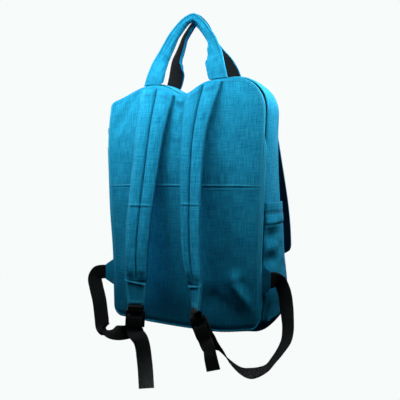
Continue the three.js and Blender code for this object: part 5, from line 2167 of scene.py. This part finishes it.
@dataclass
class Harness:
    """One shoulder strap with its loop, ladder lock, side tab and webbing.

    Wear and painted light are above 0 where a highlight is painted, below 0 where shade is painted.
    """

    form: HungForm
    finishes: Finishes
    side: Side
    strap: Table
    cross_drop: float
    lock_turn: float
    lock_lean: float
    lock_hang: float
    tab_height: float
    tab_stand: float
    tab_out: Place
    route: Route
    tail: Route
    rim: float = 2.4
    over: float = 0.75
    groove: Bump = Bump(0.62, 0, 0.13)
    groove_line: Bump = Bump(0.22, 0, 0.05)
    roll: float = 0.8
    roll_flat: float = 2.4
    roll_full: float = 0.7
    roll_end: Ramp = Ramp(0.55, 0.75)
    cross_ridge: Bump = Bump(0.10, -3.2, 2)
    cross_dip: Bump = Bump(-0.10, 0.8, 1.6)
    end_thin: float = 0.55
    end_over: float = 16.0
    border_head: Bump = Bump(1, 7, 2)
    border_slant: float = 3.0
    border_side: Bump = Bump(1, 0.86, 0.12)
    border_end: Bump = Bump(1, -4, 2.2)
    border_rise: float = 1.3
    soft_seed: int = 91
    soft_full: float = 4.0
    # Painted highlight on the left edge and above the cross seam; painted shade on the right edge, in the middle
    # groove and in a line above the end tab's border.
    left_edge_highlight: Bump = Bump(0.35, -0.97, 0.06)
    right_edge_shade: Bump = Bump(-0.9, 1, 0.07)
    groove_shade: Bump = Bump(-0.95, 0, 0.06)
    cross_seam_highlight: Bump = Bump(0.8, -3.4, 1.4)
    end_shade_line: Bump = Bump(-0.5, 2.5, 2)
    stitch: StitchRun = StitchRun(pitch=3.8, length=2.7, thick=0.45)
    strap_fade: float = 110.0
    pad_end: float = 326.0
    webbing_width: float = 25.0
    webbing_thick: float = 1.5
    tab_reach: float = 13.0
    tab_foot: float = 46.0
    tab_end: float = 27.0
    tab_thick: float = 2.4
    tab_gap: float = 0.25
    tab_lead: float = 5.5
    tab_root: float = 0.7
    # Painted shade over the whole tab.
    tab_grime: float = 0.0
    lock_width: float = 32.0
    lock_rail: float = 3.0
    lock_top: float = 3.5
    lock_bar: float = 3.0
    lock_bottom: float = 5.0
    lock_slot: float = 8.0
    lock_thick: float = 3.4
    lock_bevel: float = 0.9

    @property
    def word(self) -> str:
        """Left or right, as the nodes are named."""
        return self.side.name.lower()

    @property
    def middle_bar(self) -> float:
        """Distance of the lock's middle bar below its top bar."""
        return self.lock_top / 2 + self.lock_slot + self.lock_bar / 2

    @property
    def lock_low(self) -> float:
        """Distance of the lock's lower end below its top bar."""
        return self.middle_bar + self.lock_bar / 2 + self.lock_slot + self.lock_bottom

    def pad_height(self, share: Array, drop: Array) -> Array:
        """Height of the padding over the strap's middle plane.

        Args:
            share: place across, from -1 to 1.
            drop: distance below the bag's top edge.

        Returns:
            The padding's height with its stitched grooves.
        """
        thin = self.end_thin * smooth(drop, self.pad_end - self.end_over, self.pad_end)
        pad = self.strap.at("pad", drop) * (1 - thin)
        off = np.abs(share)
        crown = 1 - off**3
        groove = 1 - self.groove.at(share) - self.groove_line.at(share)
        rolls = (1 - np.abs(2 * off - 1) ** self.roll_flat) ** self.roll_full
        groove = blend(groove, rolls / np.maximum(crown, 0.05), self.roll * self.roll_end.down(off))
        past = drop - self.cross_drop
        return pad * crown * (groove + self.cross_ridge.at(past) + self.cross_dip.at(past))

    def binding(self, share: Array, drop: Array) -> Array:
        """How far a place lies on the folded border of the end tab.

        Args:
            share: place across, from -1 to 1.
            drop: distance below the bag's top edge.

        Returns:
            Values from 0 to 1.
        """
        off, last = np.abs(share), float(self.strap.column("drop")[-1])
        past = drop - self.pad_end + self.side.value * self.border_slant * share
        head = self.border_head.at(past) * (off < 0.97)
        below = smooth(past, self.border_head.centre - 3, self.border_head.centre)
        border = self.border_side.at(off) + self.border_end.at(drop - last)
        return np.clip(head + border * below, 0, 1)

    def strap_grid(self, front: bool, drop: Array, share: Array) -> Array:
        """Grid of one face of the strap.

        Args:
            front: the outer face, away from the bag.
            drop: distances below the bag's top edge, as a column.
            share: places across, from -1 to 1, as a row.

        Returns:
            Points in rows down the strap.
        """
        form = self.form
        turn = np.radians(self.strap.at("turn", drop))
        flat = np.zeros_like(turn)
        across = np.stack((np.cos(turn), np.sin(turn), flat), axis=-1)
        outward = np.stack((np.sin(turn), -np.cos(turn), flat), axis=-1)
        x, y = self.strap.at("x", drop), self.strap.at("y", drop)
        centre = np.stack((x, y, form.top_z - drop), axis=-1)
        half = self.strap.at("width", drop)[..., None] / 2
        padding = self.pad_height(share, drop)
        broad = ClothNoise(self.soft_seed + self.side.value, 0.5, 1, 30)
        small = ClothNoise(self.soft_seed + 4, 0.25, 0.25, 11)
        soft = broad.at(1.6 * share + 7, drop) + small.at(share, drop)
        soft = soft * np.clip(padding / self.soft_full, 0, 1)
        lower = -self.rim / 2 - (1 - self.over) * padding
        upper = self.rim / 2 + self.over * padding + soft
        upper = upper + self.border_rise * self.binding(share, drop)
        edge = self.rim / 2 * (1 - np.sqrt(np.clip(1 - np.abs(share) ** 14, 0, 1)))
        points = centre + across * (share[..., None] * half)
        sag = form.sag(points[..., 0], form.bag_height)
        points[..., 2] += sag * (1 - smooth(drop, 0, self.strap_fade))
        face = form.back_face(points[..., 0], points[..., 2]) + lower - 2 * form.gap
        points[..., 1] = np.minimum(points[..., 1], face)
        return points + outward * ((upper - edge) if front else (lower + 0.6 * edge))[..., None]

    def padded_strap(self) -> None:
        """The padded strap and its stitch rows."""
        drops = self.strap.column("drop")
        ends = np.linspace(self.pad_end - 6, self.pad_end + 14, 34)
        seam = np.linspace(self.cross_drop - 7, self.cross_drop + 5, 20)
        plain = np.linspace(drops[0], drops[-1], 110)
        drop = np.unique(np.round(np.concatenate((plain, ends, seam)), 3))[:, None]
        even = np.linspace(-1, 1, 49)[None, :]
        share = np.sign(even) * np.abs(even) ** 0.82
        outer = self.strap_grid(True, drop, share)
        inner = self.strap_grid(False, drop, share)
        pattern = paired(share * self.strap.at("width", drop) / 2, drop)
        # Painted shade along the right edge and the middle groove; painted highlight on the left edge, above the cross
        # seam and on the end tab's folded border; painted shade line above that border.
        soil = (self.right_edge_shade.at(share) + self.groove_shade.at(share)) * (drop < self.pad_end)
        seams = self.cross_seam_highlight.at(drop - self.cross_drop) + self.end_shade_line.at(drop - self.pad_end)
        rub = self.left_edge_highlight.at(share) + soil + seams + self.binding(share, drop)
        skin = cloth_skin(outer, inner, pattern, np.clip(rub, -1, 1))
        piece = skin.build(f"shoulder_strap_{self.word}_padded")
        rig.padded(piece, fill=0.7)
        dress(piece, Slot.CANVAS, self.finishes.canvas, f"shoulder_strap_{self.word}")
        self.strap_stitches(drop[:, 0])

    def strap_stitches(self, drop: Array) -> None:
        """Stitch rows down the middle, at the edges, across and round the end tab.

        Args:
            drop: distances of the strap's rows below the bag's top edge.
        """
        first, last = float(drop[0]), float(drop[-1])
        padded = drop[drop < self.pad_end]
        flat = np.linspace(self.pad_end + 8, last - 3, 24)
        wide = np.linspace(-0.86, 0.86, 36)
        box = np.linspace(-0.72, 0.72, 24)
        rows = [(padded, share) for share in (0.0, -0.93, 0.93)]
        levels = (self.cross_drop + self.cross_dip.centre, first + 9, first + 12)
        rows += [(level, wide) for level in levels]
        rows += [(flat, box[0]), (flat, box[-1]), (flat[0], box), (flat[-1], box)]
        skins = []
        for row in rows:
            down, across = np.broadcast_arrays(*row)
            face = self.strap_grid(True, down[:, None], across[:, None])[:, 0]
            turn = np.radians(self.strap.at("turn", down))
            outward = np.stack((np.sin(turn), -np.cos(turn), 0 * turn), axis=1)
            skins.append(self.stitch.along(face, outward))
        piece = all_joined(skins).build(f"shoulder_strap_{self.word}_stitches")
        dress(piece, Slot.CANVAS, self.finishes.blue_thread)

    def lock_frame(self) -> dict[str, Array]:
        """Directions of the ladder lock at the end of its strap.

        Returns:
            Its origin, its across, down and forward directions, the strap's level, ahead and end.
        """
        last = dict(zip(self.strap.names, max(self.strap.rows)))
        lean = math.radians(self.lock_lean)
        along, level = pointing(self.lock_turn, 0.0), pointing(last["turn"], 0.0)
        end = np.array((last["x"], last["y"], self.form.top_z - last["drop"] - 2 * self.form.gap))
        return {
            "origin": end + self.lock_hang * (along * math.sin(lean / 2) - UP * math.cos(lean / 2)),
            "across": along * math.cos(lean) + UP * math.sin(lean),
            "down": along * math.sin(lean) - UP * math.cos(lean),
            "forward": np.cross(along, UP),
            "level": level,
            "ahead": np.cross(level, UP),
            "end": end,
        }

    def in_lock(self, across: float, down: float, forward: float) -> Array:
        """Point in the ladder lock's own directions."""
        return self.to_lock(np.array(((across, -down, forward),)), self.lock_frame())[0]

    def half_turn(self, level: float, radius: float, way: int) -> list[Array]:
        """Places of webbing round one of the lock's bars, from behind it to ahead.

        Args:
            level: the bar's distance below the top bar.
            radius: distance from the bar's middle.
            way: 1 to pass under the bar, -1 to pass over it.

        Returns:
            Five points.
        """
        spots = [(math.sin(math.pi * k / 4), math.cos(math.pi * k / 4)) for k in range(5)]
        return [self.in_lock(0, level + way * radius * sin, -radius * cos) for sin, cos in spots]

    def ribbon(self, points: Sequence[Array], widths: Sequence[Array], fine: int) -> Skin:
        """Webbing through places with a width direction each.

        Args:
            points: the webbing's middle line.
            widths: its width direction at each point.
            fine: steps from each point to the next.

        Returns:
            The closed skin with softly rounded selvedges.
        """
        route, sides = SmoothRoute(np.array(points)), SmoothRoute(np.array(widths))
        share = np.linspace(0, 1, fine * (len(points) - 1) + 1)
        line, tangent, raw = route.sample(share), route.tangents(share), sides.sample(share)
        across = unit(raw - tangent * (raw * tangent).sum(axis=1, keepdims=True))
        normal = np.cross(across, tangent)
        stops = np.array((-0.5, -0.485, -0.46, -0.3, -0.1, 0.1, 0.3, 0.46, 0.485, 0.5))
        girth = np.array((0.35, 0.8, 1.0, 0.9, 0.9, 0.9, 0.9, 1.0, 0.8, 0.35))
        spread = stops[None, :] * self.webbing_width
        middle = line[:, None] + across[:, None] * spread[..., None]
        lift = normal[:, None] * (girth * self.webbing_thick / 2)[None, :, None]
        return cloth_skin(middle + lift, middle - lift, paired(spread, arc_lengths(line)[:, None]))

    def loop(self) -> None:
        """Short webbing loop that carries the lock's top bar."""
        part = self.lock_frame()
        turn = self.lock_top / 2 + self.webbing_thick / 2 + 4 * self.form.gap
        legs = []
        for sign in (-1, 1):
            top = part["end"] + part["ahead"] * sign * (self.webbing_thick / 2 + self.form.gap)
            below = part["end"] + part["ahead"] * sign * turn - UP * self.lock_hang / 4
            legs.append([top, below, self.in_lock(0, -self.lock_hang / 2.5, sign * turn)])
        points = legs[0] + self.half_turn(0.0, turn, 1) + legs[1][::-1]
        widths = [part["level"]] * 2 + [part["across"]] * (len(points) - 4) + [part["level"]] * 2
        piece = self.ribbon(points, widths, 6).build(f"buckle_loop_{self.word}_webbing")
        dress(piece, Slot.WEBBING, self.finishes.webbing, f"buckle_loop_{self.word}")

    def lock(self) -> None:
        """Moulded ladder lock: two slots, rounded bars, a rib in the upper slot and a lifting lip."""
        half, clear = self.lock_width / 2, self.lock_width / 2 - self.lock_rail
        high = self.lock_top / 2
        breaks = [high, -high, -high - self.lock_slot, -self.middle_bar - self.lock_bar / 2]
        breaks += [breaks[-1] - self.lock_slot, -self.lock_low]
        mesh = bmesh.new()
        columns = (-half, -clear, clear, half)
        grid = [[mesh.verts.new((x, y, -self.lock_thick / 2)) for x in columns] for y in breaks]
        cells = []
        for i, (upper, lower) in enumerate(zip(grid, grid[1:])):
            for j in (0, 2) if i in (1, 3) else (0, 1, 2):
                cells.append(mesh.faces.new((upper[j], upper[j + 1], lower[j + 1], lower[j])))
        spots, faces = moulded(mesh, cells, self.lock_thick, self.lock_bevel, 4)
        part = self.lock_frame()
        skins = [Skin(self.to_lock(spots, part), faces, spots[:, :2])]
        across = np.linspace(-clear + 1.0, clear - 1.0, 24)
        taper = np.sqrt(np.clip(1 - (np.abs(across) / (clear - 0.5)) ** 10, 0.05, 1))
        lip, middle = Bar(self.lock_low - 1.0, 1.9, 1.25), Bar(self.middle_bar, 0.6, 2.0)
        rib, top = Bar(5.7, 0.0, 1.1), Bar(0.2, 0.4, 2.2)
        for bar in (lip, middle, rib, top):
            line = np.stack(np.broadcast_arrays(across, -bar.level, bar.ahead), axis=1)
            tube = tube_skin(line, bar.radius * taper, 12)
            skins.append(Skin(self.to_lock(tube.points, part), tube.faces, tube.pattern))
        piece = all_joined(skins).build(f"ladder_lock_{self.word}_moulding", PLASTIC_CREASE)
        dress(piece, Slot.PLASTIC, self.finishes.plastic, f"ladder_lock_{self.word}")

    def to_lock(self, spots: Array, part: dict[str, Array]) -> Array:
        """Points of the lock's drawing, moved to where the lock hangs."""
        moved = part["origin"] + spots[:, :1] * part["across"]
        return moved - spots[:, 1:2] * part["down"] + spots[:, 2:] * part["forward"]

    def tab_places(self) -> dict[str, Array]:
        """Places of the side tab.

        Returns:
            Its foot and end, its width direction, its run and the two starts of its webbing.
        """
        form, sign = self.form, float(self.side.value)
        edge = Edge.spot(sign * form.half_width, self.tab_height, sign)
        foot = form.on_gusset(edge, 0.0, self.tab_stand)[0]
        run = np.array((*self.tab_out, 0.0))
        pasts = (0.0, self.tab_gap, self.tab_lead)
        end, *starts = [foot + run * (self.tab_reach + past) for past in pasts]
        return {"foot": foot, "end": end, "across": UP * sign, "run": run, "starts": np.array(starts)}

    def tab(self) -> None:
        """Canvas tab in the lower side seam, with pressed lines near its edges."""
        spot = self.tab_places()
        share = np.linspace(0, 1, 24)[:, None, None]
        across = np.linspace(-0.5, 0.5, 20)[None, :, None]
        width = spot["across"] * blend(self.tab_foot, self.tab_end, share)
        middle = blend(spot["foot"] - spot["run"] * self.tab_root, spot["end"], share) + width * across
        normal = unit(np.cross(spot["across"], spot["run"]))
        rim = 1 - 0.55 * np.abs(2 * across) ** 16
        pressed = 1 - 0.3 * bell(np.abs(across), 0.4, 0.03)
        lift = normal * (self.tab_thick / 2 * rim * pressed)
        pattern = paired(across * self.tab_foot, share * self.tab_reach)[..., 0, :]
        # Painted shade over the whole tab; the right tab is darkened this way.
        rub = np.full(pattern.shape[:2], -self.tab_grime)
        skin = cloth_skin(middle + lift, middle - lift, pattern, rub)
        piece = skin.build(f"strap_tab_{self.word}_canvas")
        dress(piece, Slot.CANVAS, self.finishes.canvas, f"strap_tab_{self.word}")

    def hung(self, places: Route) -> tuple[list[Array], list[Array]]:
        """Points and width directions of places on the webbing's route."""
        points = [np.array((x, y, self.form.top_z - drop)) for drop, x, y, _, _ in places]
        return points, [pointing(swing, tip) for *_, swing, tip in places]

    def webbing(self) -> None:
        """Webbing from the tab through the ladder lock, with its hanging tail."""
        spot, low = self.tab_places(), self.lock_low
        turn = self.lock_bar / 2 + self.webbing_thick / 2 + 4.5 * self.form.gap
        before = [self.in_lock(0, low + 3, -turn - 3), self.in_lock(0, low - 6, -turn - 1)]
        after = [self.in_lock(0, low - 4, turn + 0.4), self.in_lock(0, low + 6, turn)]
        locked = before + self.half_turn(self.middle_bar, turn, -1) + after
        route, tail = self.hung(self.route), self.hung(self.tail)
        points = [*spot["starts"], *route[0], *locked, *tail[0]]
        widths = [spot["across"]] * 2 + route[1] + [self.lock_frame()["across"]] * len(locked) + tail[1]
        piece = self.ribbon(points, widths, 9).build(f"webbing_{self.word}_band")
        dress(piece, Slot.WEBBING, self.finishes.webbing, f"webbing_{self.word}")

    def make(self) -> None:
        """Builds the strap and all that hangs on it."""
        self.padded_strap()
        self.loop()
        self.lock()
        self.tab()
        self.webbing()


STRAP_COLUMNS = ("drop", "x", "y", "width", "pad", "turn")


def left_harness(form: HungForm, finishes: Finishes) -> Harness:
    """The left shoulder strap with its webbing.

    Args:
        form: the hung form that it follows.
        finishes: the bag's finishes.

    Returns:
        The harness, not built yet.
    """
    return Harness(
        form,
        finishes,
        Side.LEFT,
        strap=Table(
            STRAP_COLUMNS,
            (
                (7, -54, -31, 68, 5, 0),
                (20, -55, -36, 67, 7, 0),
                (70, -58, -48, 60, 8, 3),
                (119, -59, -58, 53, 8, 6),
                (214, -59, -79, 46, 8, 10),
                (275, -57, -92, 42, 8, 14),
                (322, -53, -99, 38, 7, 18),
                (328, -53, -100, 37, 4, 19),
                (331, -53, -100, 36, 1.6, 20),
                (368, -52, -102, 28, 1.2, 24),
            ),
        ),
        cross_drop=209.0,
        lock_turn=24.0,
        lock_lean=-4.0,
        lock_hang=10.0,
        tab_height=72.0,
        tab_stand=5.0,
        tab_out=(-0.86, -0.5),
        route=(
            (332, -169, -57, 30, -60),
            (342, -174, -59.5, 30, -30),
            (357, -170, -61, 30, -6),
            (380, -160.5, -64, 30, 0),
            (410, -151.5, -69, 30, 0),
            (424, -146, -72.5, 24, 0),
            (429, -130, -77, -45, -8),
            (427.5, -108, -82, -40, -48),
            (423, -88, -87, 20, -70),
            (417, -71, -92, 24, -44),
            (409, -57, -95, 24, -14),
        ),
        tail=((424, -38, -108, 24, 0), (459, -31.5, -107, 26, 0), (502, -29.5, -105, 30, 2)),
    )


def right_harness(form: HungForm, finishes: Finishes) -> Harness:
    """The right shoulder strap with its webbing.

    Args:
        form: the hung form that it follows.
        finishes: the bag's finishes.

    Returns:
        The harness, not built yet.
    """
    return Harness(
        form,
        finishes,
        Side.RIGHT,
        strap=Table(
            STRAP_COLUMNS,
            (
                (5, 37, -31, 68, 5, 0),
                (18, 35, -36, 66, 7, 0),
                (55, 31, -45, 56, 8, -2),
                (93, 29, -53, 48, 8, -4),
                (150, 32, -66, 44, 8, -7),
                (214, 38, -79, 42, 8, -10),
                (273, 46, -90, 39, 8, -14),
                (318, 56, -98, 38, 7, -19),
                (324, 57, -99, 37, 4, -22),
                (327, 58, -99, 35, 1.6, -24),
                (362, 62, -102, 27, 1.2, -38),
            ),
        ),
        cross_drop=205.0,
        lock_turn=-6.0,
        lock_lean=28.0,
        lock_hang=17.5,
        tab_height=80.0,
        tab_stand=6.5,
        tab_out=(0.72, 0.69),
        route=(
            (326, 168, -21, -16, 44),
            (340, 175, -23, -12, 14),
            (357, 179.5, -27, -14, 2),
            (375, 184, -33, -22, 0),
            (393, 187, -39, -28, 0),
            (407, 187, -46, -36, 0),
            (420, 182, -54, -46, 2),
            (435, 173, -62, -54, 2),
            (447, 164, -69, -62, -6),
            (455, 145, -78, -66, -20),
            (452, 131, -85, -62, -8),
            (436, 114, -94, -54, 0),
            (418, 101, -100, -40, 12),
        ),
        tail=((415, 89.5, -113, -14, 22), (430, 95.5, -117, -8, 17), (446, 101, -119, -4, 14)),
        pad_end=322.0,
        tab_grime=0.8,
    )


# Stage, lights and camera


@dataclass(frozen=True)
class Lamp:
    """Soft box that aims at a place, in metres."""

    name: str
    place: tuple[float, float, float]
    aim: tuple[float, float, float]
    size: float
    watts: float
    spread: float = 180.0

    def make(self) -> None:
        """Adds the lamp."""
        light = bpy.data.lights.new(self.name, "AREA")
        light.shape = "DISK"
        light.size = self.size
        light.energy = self.watts
        light.spread = math.radians(self.spread)
        holder = bpy.data.objects.new(self.name, light)
        holder.location = self.place
        towards = Vector(self.aim) - Vector(self.place)
        holder.rotation_euler = towards.to_track_quat("-Z", "Y").to_euler()
        holder.visible_camera = False
        bpy.context.scene.collection.objects.link(holder)


@dataclass
class Studio:
    """Pale floor, soft light and the photograph's camera, in metres."""

    floor_z: float = -1.1
    floor_half: float = 30.0
    sky: Colour = (0.930, 0.965, 0.956)
    ambient: float = 0.004
    azimuth: float = 30.0
    distance: float = 0.955
    eye_z: float = -0.265
    lens: float = 49.41
    sensor: float = 36.0
    yaw: float = 0.574
    pitch: float = 2.295
    lamps: tuple[Lamp, ...] = (
        Lamp("key", (-0.15, -0.20, 0.04), (-0.03, -0.04, -0.22), 0.15, 1.08),
        Lamp("side_key", (-0.30, -0.20, 0.0), (-0.05, -0.04, -0.28), 0.15, 0.42),
        Lamp("front", (0.0, -0.35, 0.06), (0.0, -0.04, -0.18), 0.18, 0.24),
        Lamp("top", (0.06, -0.10, 0.20), (0.02, -0.02, -0.28), 0.25, 0.95),
        Lamp("right", (0.34, 0.03, 0.08), (0.06, -0.02, -0.17), 0.18, 2.1),
        Lamp("corner", (0.23, -0.17, 0.06), (0.11, -0.03, -0.12), 0.12, 0.52),
        Lamp("low", (0.22, -0.42, -0.68), (0.02, -0.09, -0.63), 0.10, 0.13, 22.0),
        Lamp("left", (-0.70, 0.22, 0.08), (-0.14, 0.02, -0.26), 0.30, 2.2, 60.0),
        Lamp("behind", (0.10, 0.75, 0.10), (0.0, 0.06, -0.28), 0.45, 1.1, 60.0),
    )

    def floor(self) -> None:
        """Plain pale floor."""
        far = self.floor_half
        mesh = bpy.data.meshes.new("floor")
        square = ((-far, -far), (far, -far), (far, far), (-far, far))
        corners = [(x, y, self.floor_z) for x, y in square]
        mesh.from_pydata(corners, [], [(0, 1, 2, 3)])
        floor = bpy.data.objects.new("floor", mesh)
        floor.data.materials.append(StageFinish().build())
        bpy.context.scene.collection.objects.link(floor)
        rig.stage(floor)

    def world(self) -> None:
        """Even pale surroundings that add a little soft light."""
        world = bpy.data.worlds.new("studio")
        world.use_nodes = True
        tree = world.node_tree
        tree.nodes.clear()
        seen = tree.nodes.new("ShaderNodeLightPath")
        shown, thrown = (tree.nodes.new("ShaderNodeBackground") for _ in range(2))
        for sky in (shown, thrown):
            sky.inputs["Color"].default_value = (*self.sky, 1.0)
        thrown.inputs["Strength"].default_value = self.ambient
        both, out = tree.nodes.new("ShaderNodeMixShader"), tree.nodes.new("ShaderNodeOutputWorld")
        tree.links.new(seen.outputs["Is Camera Ray"], both.inputs[0])
        tree.links.new(thrown.outputs[0], both.inputs[1])
        tree.links.new(shown.outputs[0], both.inputs[2])
        tree.links.new(both.outputs[0], out.inputs["Surface"])
        bpy.context.scene.world = world
        bpy.context.scene.view_settings.view_transform = "Standard"

    def camera(self) -> None:
        """Camera at the photograph's angle."""
        lens = bpy.data.cameras.new("camera")
        lens.lens = self.lens
        lens.sensor_width = self.sensor
        lens.clip_end = 100.0
        turn = math.radians(self.azimuth)
        look, tip = math.radians(self.azimuth - self.yaw), math.radians(self.pitch)
        level = math.cos(tip)
        forward = Vector((-math.sin(look) * level, math.cos(look) * level, -math.sin(tip)))
        right = Vector((math.cos(look), math.sin(look), 0.0))
        upward = right.cross(forward)
        basis = Matrix((right, upward, -forward)).transposed().to_4x4()
        eye = Vector((self.distance * math.sin(turn), -self.distance * math.cos(turn), self.eye_z))
        camera = bpy.data.objects.new("camera", lens)
        camera.matrix_world = Matrix.Translation(eye) @ basis
        bpy.context.scene.collection.objects.link(camera)
        bpy.context.scene.camera = camera

    def make(self) -> None:
        """Sets up the stage."""
        self.camera()
        self.floor()
        self.world()
        for lamp in self.lamps:
            lamp.make()


def write_sizes(before: Sequence[Sequence[float]], path: str = "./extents.json") -> None:
    """Writes the CAD box and the dressed bag's box.

    Args:
        before: the CAD box's lowest and highest corners.
        path: the file to write.
    """
    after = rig.bounds()
    boxes = {
        "cad": [[float(v) for v in corner] for corner in before],
        "visual": [[float(v) for v in corner] for corner in after],
    }
    with open(path, "w", encoding="utf-8") as out:
        json.dump(boxes, out)


def main() -> None:
    """Builds the studio and each sub-assembly of the bag in order."""
    logging.basicConfig(level=logging.INFO, format="%(name)s: %(message)s")
    form, finishes = HungForm(), Finishes()
    back_foot = float(form.section("back", form.bag_height)) + form.back_wall / 2
    front_foot = float(form.section("front", form.bag_height)) + FRONT_HANDLE_STAND
    makers: list[Callable[[], None]] = [
        Studio().make,
        BagShell(form, finishes).make,
        Zip(form, finishes).make,
        SidePocket(form, finishes, Side.LEFT, "side_pocket_left", fullness=1.8).make,
        SidePocket(form, finishes, Side.RIGHT, "side_pocket_right").make,
        FrontPocket(form, finishes).make,
        Handle(form, finishes, "back", -1.0, back_foot, BACK_ARCH).make,
        Handle(form, finishes, "front", 1.0, front_foot, FRONT_ARCH).make,
        left_harness(form, finishes).make,
        right_harness(form, finishes).make,
    ]
    for build in makers:
        build()
    write_sizes(CAD_BOX)


if __name__ == "__main__":
    main()
